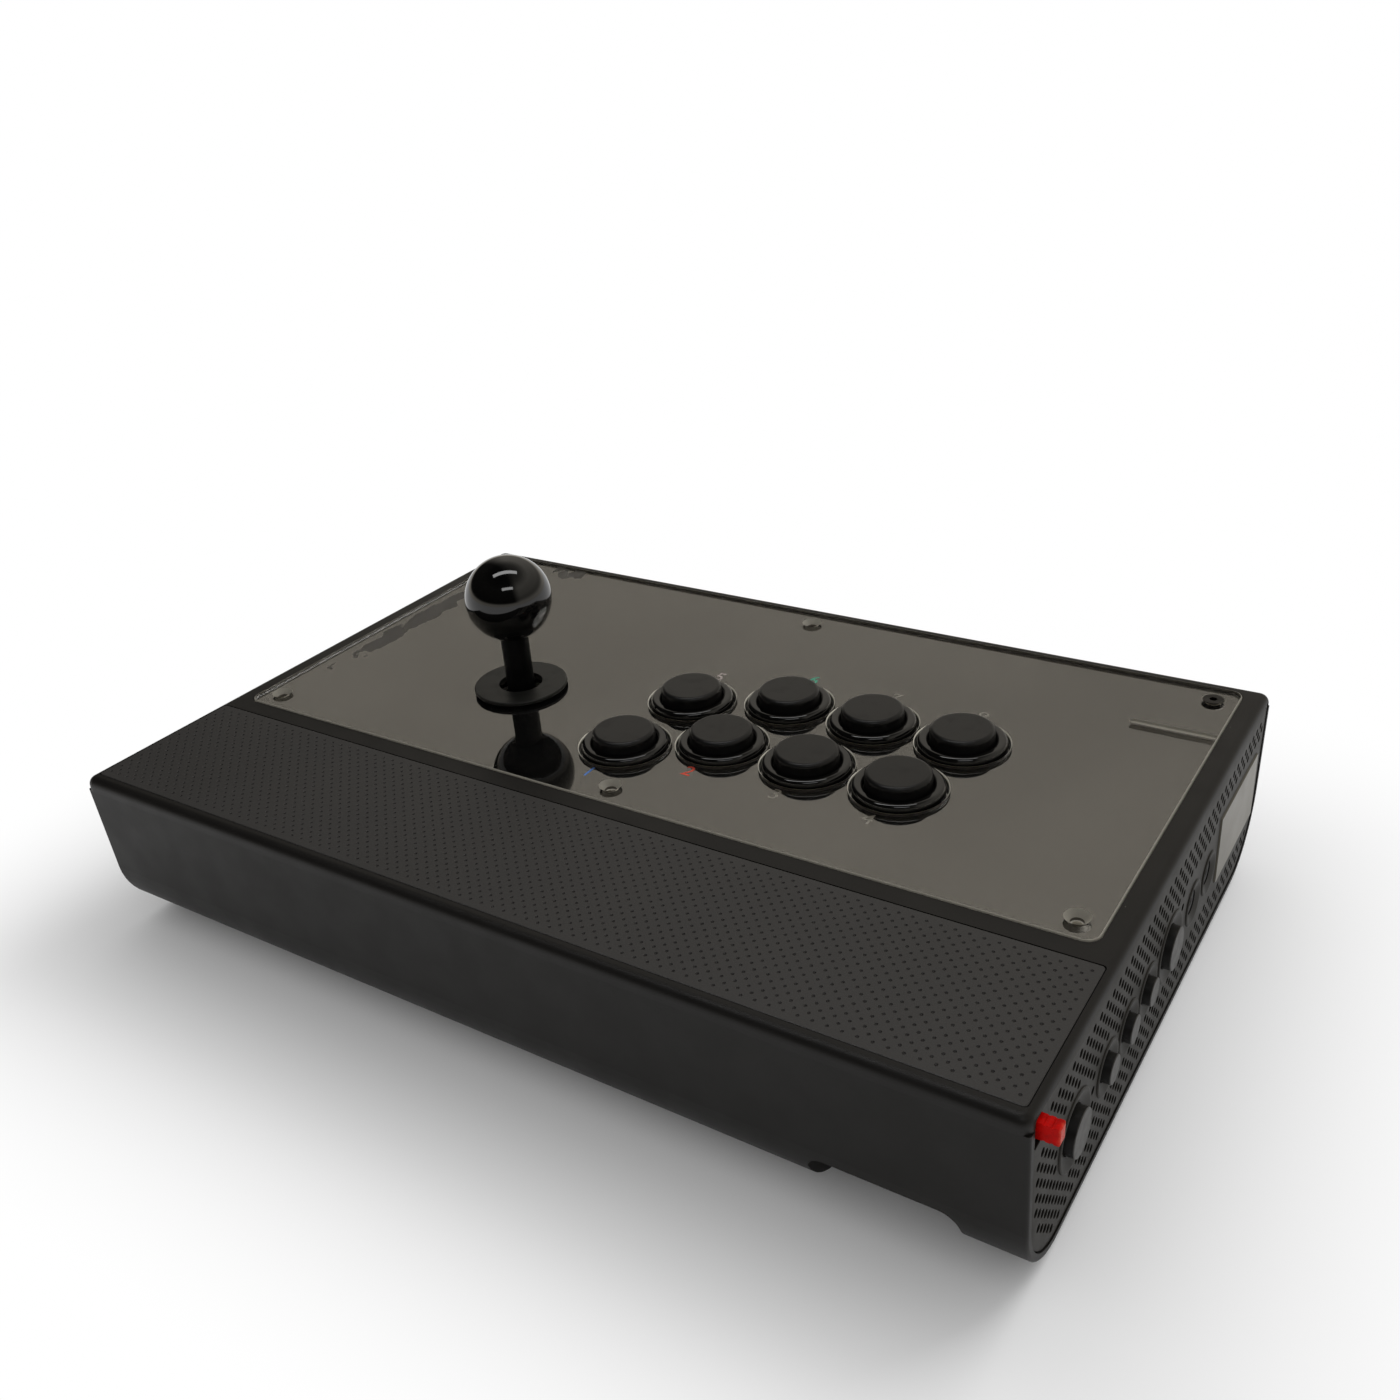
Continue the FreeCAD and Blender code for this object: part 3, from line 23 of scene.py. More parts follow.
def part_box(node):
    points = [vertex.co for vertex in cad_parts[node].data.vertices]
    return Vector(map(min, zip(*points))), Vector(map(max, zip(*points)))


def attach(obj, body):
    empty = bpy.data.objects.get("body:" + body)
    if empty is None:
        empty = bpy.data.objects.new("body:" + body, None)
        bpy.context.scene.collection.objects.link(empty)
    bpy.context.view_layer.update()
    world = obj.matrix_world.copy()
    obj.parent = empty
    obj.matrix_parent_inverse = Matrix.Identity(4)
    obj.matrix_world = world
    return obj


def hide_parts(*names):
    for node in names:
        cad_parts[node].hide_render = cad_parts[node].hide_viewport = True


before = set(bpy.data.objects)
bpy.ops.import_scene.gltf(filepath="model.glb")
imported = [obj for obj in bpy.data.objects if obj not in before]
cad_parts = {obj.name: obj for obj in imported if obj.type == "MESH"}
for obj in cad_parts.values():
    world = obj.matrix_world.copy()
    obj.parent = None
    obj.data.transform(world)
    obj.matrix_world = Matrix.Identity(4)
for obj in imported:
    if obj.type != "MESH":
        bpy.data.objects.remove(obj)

MM = 0.001
BUTTONS = range(1, 9)
NOISE_RANGE = (0.3, 0.7)
SHARP = math.radians(32)
WHITE = (1.0, 1.0, 1.0)
log = logging.getLogger("arcade_stick")

Point = tuple[float, float]
Loop = list[Point]
Spot = tuple[float, float, float]
Rgb = tuple[float, float, float]
Value = Union[float, tuple, NodeSocket]
Inputs = dict[Union[int, str], Value]
Place = Callable[[float, float, float], Spot]


class Side(Enum):
    """The end of the housing that a panel closes."""

    LEFT = -1
    RIGHT = 1


class Ink(Enum):
    """Colours of the small printed numbers, as written on screen, 0 to 255."""

    BLUE = (86, 128, 200)
    RED = (206, 78, 62)
    GREEN = (70, 150, 128)
    PALE = (158, 150, 150)
    GREY = (126, 124, 118)


@lru_cache(maxsize=None)
def box(node: str) -> tuple[Vector, Vector]:
    """Lowest and highest corner of a solid, worked out once."""
    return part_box(node)


def centre(node: str) -> Point:
    """Middle of a solid seen from above."""
    low, high = box(node)
    return (low.x + high.x) / 2, (low.y + high.y) / 2


def linear(red: float, green: float, blue: float) -> Rgb:
    """Turn a screen colour into the linear values that shaders take.

    Args:
        red: Red, 0 to 255.
        green: Green, 0 to 255.
        blue: Blue, 0 to 255.

    Returns:
        The three linear values, 0 to 1.
    """
    shares = [channel / 255 for channel in (red, green, blue)]
    return tuple(s / 12.92 if s <= 0.04045 else ((s + 0.055) / 1.055) ** 2.4 for s in shares)


def scaled(colour: Rgb, factor: float = 1.0) -> tuple[float, float, float, float]:
    """Brighten or darken a linear colour, with the fourth value that colour sockets need."""
    return (*[min(1.0, channel * factor) for channel in colour], 1.0)


class Nodes:
    """A node tree, with short calls for the nodes that the finishes and the surroundings share."""

    def __init__(self, tree: NodeTree) -> None:
        """Take a tree and empty it."""
        self.tree = tree
        tree.nodes.clear()

    def feed(self, node: Node, inputs: Inputs) -> None:
        """Link sockets to inputs of a node or set them to constants, by their name or number."""
        for key, value in inputs.items():
            if isinstance(value, NodeSocket):
                self.tree.links.new(value, node.inputs[key])
            else:
                node.inputs[key].default_value = value

    def add(self, kind: str, inputs: Optional[Inputs] = None, **settings: object) -> Node:
        """Add a node.

        Args:
            kind: Blender's name of the node type, after the prefix that all shader nodes share.
            inputs: What goes into its inputs, by their name or number.
            **settings: Properties of the node.

        Returns:
            The new node.
        """
        made = self.tree.nodes.new(f"ShaderNode{kind}")
        for key, value in settings.items():
            setattr(made, key, value)
        self.feed(made, inputs or {})
        return made

    def math(self, operation: str, first: Value, second: Value) -> NodeSocket:
        """Join two numbers by an operation that has Blender's name."""
        return self.add("Math", {0: first, 1: second}, operation=operation).outputs[0]

    def remap(self, value: Value, low: float, high: float, start: float = 0.0,
              end: float = 1.0) -> NodeSocket:
        """Ease a value between two limits into a new range.

        Args:
            value: The value's socket.
            low: Value that gives start.
            high: Value that gives end.
            start: Result at low and below.
            end: Result at high and above.

        Returns:
            The result's socket.
        """
        inputs = dict(enumerate((value, low, high, start, end)))
        return self.add("MapRange", inputs, interpolation_type="SMOOTHSTEP").outputs[0]

    def mix(self, share: Value, first: Value, second: Value) -> NodeSocket:
        """Mix two colours by a share."""
        return self.add("Mix", {0: share, 6: first, 7: second}, data_type="RGBA").outputs[2]

    def blend(self, share: Value, first: Value, second: Value) -> NodeSocket:
        """Mix two numbers by a share."""
        return self.add("Mix", {0: share, 2: first, 3: second}, data_type="FLOAT").outputs[0]


class Graph(Nodes):
    """Node tree of one material, with the patterns that the finishes are made of."""

    def __init__(self, name: str) -> None:
        """Start a material of that name with one Principled shader on its output."""
        self.material = bpy.data.materials.new(name)
        self.material.use_nodes = True
        super().__init__(self.material.node_tree)
        self.shader = self.add("BsdfPrincipled")
        self.output = self.add("OutputMaterial", {"Surface": self.shader.outputs[0]})
        self.place = self.add("TexCoord").outputs["Object"]

    def set(self, **values: Value) -> None:
        """Feed inputs of the Principled shader, named with underscores for spaces."""
        self.feed(self.shader, {key.replace("_", " "): value for key, value in values.items()})

    def choose(self, share: Value, first: Node, second: Node) -> None:
        """Let the surface show one shader or another by a share."""
        choice = self.add("MixShader", {0: share, 1: first.outputs[0], 2: second.outputs[0]})
        self.feed(self.output, {"Surface": choice.outputs[0]})

    def stretch(self, scale: Spot, turn: float = 0.0) -> NodeSocket:
        """Scale the object's own coordinates, axis by axis, after a turn about the upright axis."""
        inputs = {"Vector": self.place, "Rotation": (0.0, 0.0, turn), "Scale": scale}
        return self.add("Mapping", inputs, vector_type="POINT").outputs[0]

    def noise(self, grain: float, detail: float = 3.0, place: Optional[NodeSocket] = None) -> NodeSocket:
        """Add a noise.

        Args:
            grain: Size of the noise's blotches, in metres.
            detail: Number of finer layers.
            place: Coordinates, or the object's own if left out.

        Returns:
            The noise value's socket, around 0.5.
        """
        where = self.place if place is None else place
        return self.add("TexNoise", {"Vector": where, "Scale": 1.0 / grain, "Detail": detail}).outputs[0]

    def cloudy(self, colour: Rgb, dark: float, bright: float, grain: float, detail: float = 3.0,
               low: float = 0.35) -> NodeSocket:
        """Vary a colour in soft clouds.

        Args:
            colour: The main colour.
            dark: Factor of the darkest clouds.
            bright: Factor of the brightest clouds.
            grain: Size of the clouds.
            detail: Number of finer layers.
            low: Noise value that is darkest. What lies as far above a half is brightest.

        Returns:
            The colour's socket.
        """
        tone = self.remap(self.noise(grain, detail), low, 1 - low)
        return self.mix(tone, scaled(colour, dark), scaled(colour, bright))

    def uneven(self, low: float, high: float, grain: float, detail: float = 3.0) -> NodeSocket:
        """A number that wanders between two values over the surface."""
        return self.remap(self.noise(grain, detail), *NOISE_RANGE, low, high)

    def axis(self, name: str) -> NodeSocket:
        """One coordinate of the object's own frame, X, Y or Z."""
        return self.add("SeparateXYZ", {0: self.place}).outputs[name]

    def ragged(self, name: str, amount: float, grain: float, detail: float) -> NodeSocket:
        """One coordinate of the object's own frame, made ragged by up to an amount."""
        return self.math("ADD", self.axis(name), self.math("MULTIPLY", self.noise(grain, detail), amount))

    def specks(self, spacing: float, size: float, share: float) -> NodeSocket:
        """Scatter small round specks.

        Args:
            spacing: Distance between places where a speck may lie.
            size: Radius of a speck.
            share: Share of the places that have one.

        Returns:
            A mask, 1 on a speck.
        """
        cells = self.add("TexVoronoi", {"Vector": self.place, "Scale": 1.0 / spacing}, feature="F1")
        near = self.remap(cells.outputs["Distance"], 0.5 * size / spacing, size / spacing, 1.0, 0.0)
        tint = self.add("SeparateColor", {0: cells.outputs["Color"]})
        return self.math("MULTIPLY", near, self.math("LESS_THAN", tint.outputs[0], share))

    def bump(self, height: Value, depth: float) -> None:
        """Raise the surface by a height field of 0 to 1 that is depth metres high."""
        made = self.add("Bump", {"Strength": 1.0, "Distance": depth, "Height": height})
        self.set(Normal=made.outputs[0])


@dataclass(frozen=True)
class Finish:
    """A material with a name and a main colour, which each kind of finish lays in its own way."""

    name: str
    colour: Rgb

    def make(self) -> Material:
        """Make the material and return it."""
        graph = Graph(self.name)
        self.lay(graph)
        return graph.material

    def lay(self, graph: Graph) -> None:
        """Lay the finish into the material's tree."""
        raise NotImplementedError


@dataclass(frozen=True)
class MouldedPlastic(Finish):
    """Moulded plastic with a fine spark grain, a cloudy tone, patches of uneven roughness from rubbing and a
    little dust.
    """

    roughness: float = 0.5
    specular: float = 0.5
    grain: float = 0.35 * MM
    depth: float = 0.012 * MM
    cloud: float = 0.05
    dust: float = 0.0
    lint: Rgb = linear(150, 145, 138)
    rub: float = 0.03

    def lay(self, graph: Graph) -> None:
        """Lay the finish."""
        colour = graph.cloudy(self.colour, 1 - self.cloud, 1 + self.cloud, 45 * MM, 4.0)
        if self.dust > 0:
            colour = graph.mix(graph.specks(9 * MM, 0.16 * MM, self.dust), colour, scaled(self.lint))
        graph.set(Base_Color=colour, Specular_IOR_Level=self.specular,
                  Roughness=graph.uneven(self.roughness - self.rub, self.roughness + self.rub, 16 * MM, 5.0))
        graph.bump(graph.noise(self.grain, 2.0), self.depth)


@dataclass(frozen=True)
class GlossPlastic(Finish):
    """Polished plastic with faint smears, hairline scratches and a slight ripple."""

    roughness: float = 0.08
    smear: float = 0.10
    specular: float = 0.5
    ripple: float = 0.004 * MM

    def lay(self, graph: Graph) -> None:
        """Lay the finish."""
        smears = graph.noise(7 * MM, 6.0)
        fingers = graph.remap(smears, 0.48, 0.72, self.roughness, self.roughness + self.smear)
        lines = graph.noise(1.2 * MM, 2.0, graph.stretch((1.0, 0.06, 1.0), 0.7))
        scratches = graph.remap(lines, 0.66, 0.72, 0.0, 0.06)
        graph.set(Base_Color=graph.cloudy(self.colour, 0.85, 1.2, 12 * MM), Specular_IOR_Level=self.specular,
                  Roughness=graph.math("ADD", fingers, scratches))
        graph.bump(graph.noise(4 * MM, 2.0), self.ripple)


@dataclass(frozen=True)
class Leatherette(Finish):
    """Leatherette with a fine pebbled grain, a little shinier in broad patches."""

    specular: float = 0.5
    pebble: float = 0.7 * MM
    depth: float = 0.05 * MM
    roughness: Point = (0.5, 0.58)

    def lay(self, graph: Graph) -> None:
        """Lay the finish."""
        inputs = {"Vector": graph.place, "Scale": 1 / self.pebble}
        pebbles = graph.add("TexVoronoi", inputs, feature="SMOOTH_F1")
        graph.set(Base_Color=graph.cloudy(self.colour, 0.92, 1.08, 60 * MM, 4.0),
                  Roughness=graph.uneven(*self.roughness, 30 * MM, 5.0), Specular_IOR_Level=self.specular)
        graph.bump(pebbles.outputs["Distance"], self.depth)


@dataclass(frozen=True)
class FrostedPlastic(Finish):
    """Milled clear plastic: pale, rough and letting some light through."""

    through: float = 0.5
    refraction: float = 1.3
    roughness: Point = (0.45, 0.6)

    def lay(self, graph: Graph) -> None:
        """Lay the finish."""
        marks = graph.noise(1.5 * MM)
        graph.set(Base_Color=graph.mix(marks, scaled(self.colour, 0.85), scaled(self.colour, 1.15)),
                  Roughness=graph.remap(marks, *NOISE_RANGE, *self.roughness), IOR=self.refraction,
                  Transmission_Weight=self.through)


@dataclass(frozen=True)
class ClearPlastic(Finish):
    """Clear sheet that bends what is seen through it and lets lamp light pass, faintly uneven in tone."""

    refraction: float = 1.45

    def lay(self, graph: Graph) -> None:
        """Lay the finish."""
        graph.tree.nodes.remove(graph.shader)
        colour = graph.cloudy(self.colour, 0.985, 1.0, 90 * MM, 2.0)
        bending = graph.add("BsdfRefraction", {"Color": colour, "Roughness": 0.0, "IOR": self.refraction})
        lamp_light = graph.add("LightPath").outputs["Is Shadow Ray"]
        graph.choose(lamp_light, bending, graph.add("BsdfTransparent"))


@dataclass(frozen=True)
class GlossFilm(Finish):
    """Dark glossy film under the clear plate, dull in ragged patches where it sticks to the plate.

    The patches lie where masks along X and Y overlap, each given by where it rises and where it falls, in
    millimetres. A patch is torn where its mask and a noise together pass a limit.
    """

    patch: Rgb
    speck: Rgb
    roughness: float = 0.0
    dull_roughness: float = 0.85
    specular: float = 1.0
    refraction: float = 1.8
    left_across: tuple[Point, Point] = ((-184, -176), (-176, -160))
    left_along: tuple[Point, Point] = ((-30, 15), (60, 100))
    rear_across: tuple[Point, Point] = ((-164, -144), (-140, -120))
    rear_along: Point = (104, 114)
    mask_share: float = 0.42
    torn: Point = (0.79, 0.82)

    @staticmethod
    def band(graph: Graph, place: NodeSocket, rise: Point, fall: Point) -> NodeSocket:
        """Mask that rises and falls again along one axis.

        Args:
            graph: The material's tree.
            place: Coordinate along the axis.
            rise: Where it starts and ends to rise, in millimetres.
            fall: Where it starts and ends to fall, in millimetres.

        Returns:
            The mask's socket.
        """
        return graph.math("MULTIPLY", graph.remap(place, rise[0] * MM, rise[1] * MM),
                          graph.remap(place, fall[0] * MM, fall[1] * MM, 1.0, 0.0))

    def patches(self, graph: Graph) -> NodeSocket:
        """Mask of the ragged patches along the left edge and at the rear left, 1 in a patch."""
        across, along = graph.axis("X"), graph.axis("Y")
        left = graph.math("MULTIPLY", self.band(graph, across, *self.left_across),
                          self.band(graph, along, *self.left_along))
        rear = graph.math("MULTIPLY", self.band(graph, across, *self.rear_across),
                          graph.remap(along, self.rear_along[0] * MM, self.rear_along[1] * MM))
        near = graph.math("MULTIPLY", graph.math("MAXIMUM", left, rear), self.mask_share)
        ragged = graph.noise(6 * MM, 7.0, graph.stretch((1.0, 0.5, 1.0), 0.25))
        return graph.remap(graph.math("ADD", near, ragged), *self.torn)

    def lay(self, graph: Graph) -> None:
        """Lay the finish."""
        stuck = self.patches(graph)
        lint = graph.specks(16 * MM, 0.28 * MM, 0.10)
        colour = graph.cloudy(self.colour, 0.9, 1.1, 80 * MM, low=0.3)
        colour = graph.mix(stuck, colour, scaled(self.patch))
        dull = graph.math("MAXIMUM", stuck, lint)
        graph.set(Base_Color=graph.mix(lint, colour, scaled(self.speck)), Specular_IOR_Level=self.specular,
                  IOR=self.refraction,
                  Roughness=graph.remap(dull, 0.0, 1.0, self.roughness, self.dull_roughness))


@dataclass(frozen=True)
class PrintInk(Finish):
    """Printing ink with a soft sheen and a fine dot grain."""

    roughness: float = 0.4
    specular: float = 0.2

    def lay(self, graph: Graph) -> None:
        """Lay the finish."""
        dots = graph.noise(0.4 * MM, 1.0)
        colour = graph.cloudy(self.colour, 0.9, 1.1, 80 * MM, low=0.3)
        dotted = graph.remap(dots, 0.45, 0.7, 0.0, 0.35)
        graph.set(Base_Color=graph.mix(dotted, colour, scaled(self.colour, 1.5)),
                  Specular_IOR_Level=self.specular,
                  Roughness=graph.uneven(self.roughness, self.roughness + 0.08, 20 * MM))
        graph.bump(dots, 0.004 * MM)


@dataclass(frozen=True)
class Metal(Finish):
    """Bare or plated metal with drawn streaks and a few dull spots."""

    roughness: float = 0.32
    metallic: float = 1.0

    def lay(self, graph: Graph) -> None:
        """Lay the finish."""
        streaks = graph.noise(1.6 * MM, 3.0, graph.stretch((0.12, 1.0, 1.0)))
        dull = graph.remap(graph.noise(9 * MM, 5.0), 0.5, 0.7)
        graph.set(Base_Color=graph.mix(dull, scaled(self.colour), scaled(self.colour, 0.75)),
                  Metallic=self.metallic,
                  Roughness=graph.remap(streaks, *NOISE_RANGE, self.roughness - 0.06, self.roughness + 0.1))
        graph.bump(streaks, 0.004 * MM)


@dataclass(frozen=True)
class Rubber(Finish):
    """Dull rubber with a coarse grain and dusty patches."""

    dust: Rgb = linear(74, 72, 68)
    roughness: Point = (0.78, 0.92)

    def lay(self, graph: Graph) -> None:
        """Lay the finish."""
        dusty = graph.remap(graph.noise(6 * MM, 5.0), 0.52, 0.75, 0.0, 0.5)
        graph.set(Base_Color=graph.mix(dusty, scaled(self.colour), scaled(self.dust)),
                  Roughness=graph.uneven(*self.roughness, 2 * MM))
        graph.bump(graph.noise(0.6 * MM), 0.03 * MM)


@dataclass(frozen=True)
class CircuitBoard(Finish):
    """Solder mask over copper, with the copper's lanes showing as a lighter tone."""

    lane_step: float = 9 * MM
    lane_width: float = 0.05
    roughness: Point = (0.28, 0.4)

    def lay(self, graph: Graph) -> None:
        """Lay the finish."""
        inputs = {"Vector": graph.place, "Scale": 1 / self.lane_step, "Mortar Size": self.lane_width}
        copper = graph.add("TexBrick", inputs, offset=0.5).outputs["Fac"]
        graph.set(Base_Color=graph.mix(copper, scaled(self.colour), scaled(self.colour, 1.9)),
                  Roughness=graph.uneven(*self.roughness, 5 * MM))
        graph.bump(copper, 0.03 * MM)


@dataclass(frozen=True)
class FacedCap(Finish):
    """Cap in the panel's grey on its outer face, with its side darkened as painted shade."""

    side: Rgb
    tip: float
    paint: float = 0.35 * MM
    specular: float = 0.4
    roughness: Point = (0.42, 0.5)

    def lay(self, graph: Graph) -> None:
        """Lay the finish."""
        # Painted shade: all but the outer face takes the dark side colour.
        out = graph.ragged("X", 0.1 * MM, 0.8 * MM, 2.0)
        painted = graph.remap(out, self.tip - self.paint, self.tip - self.paint / 2)
        face = graph.cloudy(self.colour, 0.93, 1.07, 6 * MM)
        graph.set(Base_Color=graph.mix(painted, scaled(self.side), face), Specular_IOR_Level=self.specular,
                  Roughness=graph.uneven(*self.roughness, 3 * MM, 4.0))
        graph.bump(graph.noise(0.35 * MM, 2.0), 0.01 * MM)


@dataclass(frozen=True)
class WornKnob(Finish):
    """Bright plastic whose outer end is lightened pale as a painted highlight."""

    worn: Rgb
    tip: float
    reach: float = 1.6 * MM
    most: float = 0.3
    specular: float = 0.06
    roughness: Point = (0.26, 0.44)

    def lay(self, graph: Graph) -> None:
        """Lay the finish."""
        # Painted highlight: the outer end turns towards the pale colour.
        out = graph.ragged("X", 2.0 * MM, 1.4 * MM, 4.0)
        highlight_share = graph.remap(out, self.tip, self.tip + self.reach, 0.0, self.most)
        body = graph.cloudy(self.colour, 0.8, 1.15, 2.5 * MM)
        graph.set(Base_Color=graph.mix(highlight_share, body, scaled(self.worn)), Specular_IOR_Level=self.specular,
                  Roughness=graph.uneven(*self.roughness, MM, 4.0))
        graph.bump(graph.noise(0.4 * MM, 2.0), 0.01 * MM)


def add_object(name: str, data: ID) -> Object:
    """Put a new object into the scene."""
    made = bpy.data.objects.new(name, data)
    bpy.context.scene.collection.objects.link(made)
    return made


def add_piece(name: str, mesh: Mesh, finishes: Sequence[Material], body: str,
              replaced: Sequence[str] = ()) -> Object:
    """Put a finished mesh into the scene as a piece of the object.

    Args:
        name: Name of the piece.
        mesh: Its mesh, in the frame of the solids.
        finishes: Its finishes, in the order of the mesh's finish numbers.
        body: The body that it moves with.
        replaced: Nodes that it stands for.

    Returns:
        The new object.
    """
    piece = add_object(name, mesh)
    for finish in finishes:
        mesh.materials.append(finish)
    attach(piece, body)
    if replaced:
        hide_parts(*replaced)
    log.info("%s: %d faces on %s", name, len(mesh.polygons), body)
    return piece


def store_smooth(shape: bmesh.types.BMesh, mesh: Mesh) -> None:
    """Store an edited shape, which is used up, in a mesh that is smooth apart from its sharp edges."""
    shape.to_mesh(mesh)
    shape.free()
    mesh.shade_smooth()
    mesh.set_sharp_from_angle(angle=SHARP)


def finished_mesh(name: str, shape: bmesh.types.BMesh, flat: Sequence[bmesh.types.BMFace] = ()) -> Mesh:
    """Turn an edited shape into a mesh that is smooth apart from flat faces and sharp edges.

    Args:
        name: Name of the mesh.
        shape: The edited shape, which is used up.
        flat: Faces that stay flat, so that their gloss isn't bent by the edges round them.

    Returns:
        The mesh.
    """
    shape.faces.index_update()
    level = [face.index for face in flat]
    mesh = bpy.data.meshes.new(name)
    store_smooth(shape, mesh)
    for number in level:
        mesh.polygons[number].use_smooth = False
    return mesh


def circle(middle: Point, radius: float, steps: int) -> Loop:
    """Points round a circle."""
    turns = [2 * math.pi * n / steps for n in range(steps)]
    return [(middle[0] + radius * math.cos(t), middle[1] + radius * math.sin(t)) for t in turns]


def rounded_outline(corners: Sequence[Point], radii: Sequence[float], steps: int, inset: float = 0.0) -> Loop:
    """Outline through corner points, each rounded by an arc, moved in by an amount.

    Args:
        corners: Corner points, anticlockwise.
        radii: Radius at each corner before the inset.
        steps: Number of points on each arc.
        inset: How far the whole outline is moved in.

    Returns:
        The outline's points.
    """
    points = []
    for n, corner in enumerate(corners):
        here = Vector(corner)
        back = (Vector(corners[n - 1]) - here).normalized()
        ahead = (Vector(corners[(n + 1) % len(corners)]) - here).normalized()
        half = back.angle(ahead) / 2
        middle = here + (back + ahead).normalized() * (radii[n] / math.sin(half))
        start = here + back * (radii[n] / math.tan(half)) - middle
        sweep = math.pi - 2 * half
        radius = radii[n] - inset
        first = math.atan2(start.y, start.x)
        for step in range(steps):
            turn = first + sweep * step / (steps - 1)
            points.append((middle.x + radius * math.cos(turn), middle.y + radius * math.sin(turn)))
    return points


def rectangle(left: float, right: float, low: float, high: float) -> Loop:
    """Corners of a rectangle, anticlockwise."""
    return [(left, low), (right, low), (right, high), (left, high)]


def inside(loop: Loop, x: float, y: float) -> bool:
    """Whether a point lies inside an outline."""
    found = False
    for (x0, y0), (x1, y1) in zip(loop, loop[1:] + loop[:1]):
        if (y0 > y) != (y1 > y) and x < x0 + (y - y0) / (y1 - y0) * (x1 - x0):
            found = not found
    return found


@dataclass
class Cut:
    """One hole in a plate, as loops of equal length from its front face down.

    Each loop goes with its height over the front face, so a raised collar has heights above zero. Each band
    between two loops has a finish number, and a pocket is closed by a floor at its last loop.
    """

    loops: list[tuple[Loop, float]]
    finishes: tuple[int, ...] = (0,)
    pocket: bool = False

    def finish(self, band: int) -> int:
        """Finish number of one band, the last given number for the bands after it."""
        return self.finishes[min(band, len(self.finishes) - 1)]


@dataclass
class PlateMesh:
    """A flat plate of any convex outline with holes, as one closed mesh."""

    outline: Callable[[float], Loop]
    thickness: float
    edge: float
    cuts: list[Cut]
    place: Place
    edge_finish: int = 0
    edge_turn: float = 0.3

    @staticmethod
    def fill(outer: Loop, holes: list[Loop]) -> list[list[int]]:
        """Triangles between an outline and its holes.

        Args:
            outer: The outline.
            holes: The holes.

        Returns:
            Triangles whose numbers run through the outline's points and then through each hole's.
        """
        points, edges, owner = [], [], []
        for number, loop in enumerate([outer] + holes):
            first = len(points)
            points += [Vector(p) / MM for p in loop]
            edges += [(first + n, first + (n + 1) % len(loop)) for n in range(len(loop))]
            owner += [number] * len(loop)
        _, _, faces, source, _, _ = delaunay_2d_cdt(points, edges, [], 1, 1e-6)
        triangles = [[source[corner][0] for corner in face] for face in faces]
        return [t for t in triangles if len({owner[corner] for corner in t}) > 1 or owner[t[0]] == 0]

    def rim(self) -> Cut:
        """Outer wall of the plate with its broken front edge."""
        first = self.edge_turn * self.edge
        loops = [(self.outline(self.edge), 0.0), (self.outline(first), -first),
                 (self.outline(0.0), -self.edge), (self.outline(0.0), -self.thickness)]
        return Cut(loops, (self.edge_finish,))

    def build(self, name: str) -> Mesh:
        """Build the mesh.

        Args:
            name: Name of the mesh.

        Returns:
            The mesh, smooth apart from its flat faces and sharp edges.
        """
        shape = bmesh.new()
        fronts, backs = [], []
        for cut in [self.rim()] + self.cuts:
            rings = [[shape.verts.new(self.place(u, v, height)) for u, v in loop]
                     for loop, height in cut.loops]
            for band, (upper, lower) in enumerate(zip(rings, rings[1:])):
                for n in range(len(upper)):
                    m = (n + 1) % len(upper)
                    face = shape.faces.new((upper[n], upper[m], lower[m], lower[n]))
                    face.material_index = cut.finish(band)
            fronts.append((rings[0], cut.loops[0][0]))
            if cut.pocket:
                shape.faces.new(rings[-1]).material_index = cut.finish(len(rings))
            else:
                backs.append((rings[-1], cut.loops[-1][0]))
        flat = []
        for side in (fronts, backs):
            corners = [corner for ring, _ in side for corner in ring]
            loops = [loop for _, loop in side]
            flat += [shape.faces.new([corners[n] for n in triangle])
                     for triangle in self.fill(loops[0], loops[1:])]
        bmesh.ops.recalc_face_normals(shape, faces=shape.faces)
        return finished_mesh(name, shape, flat)


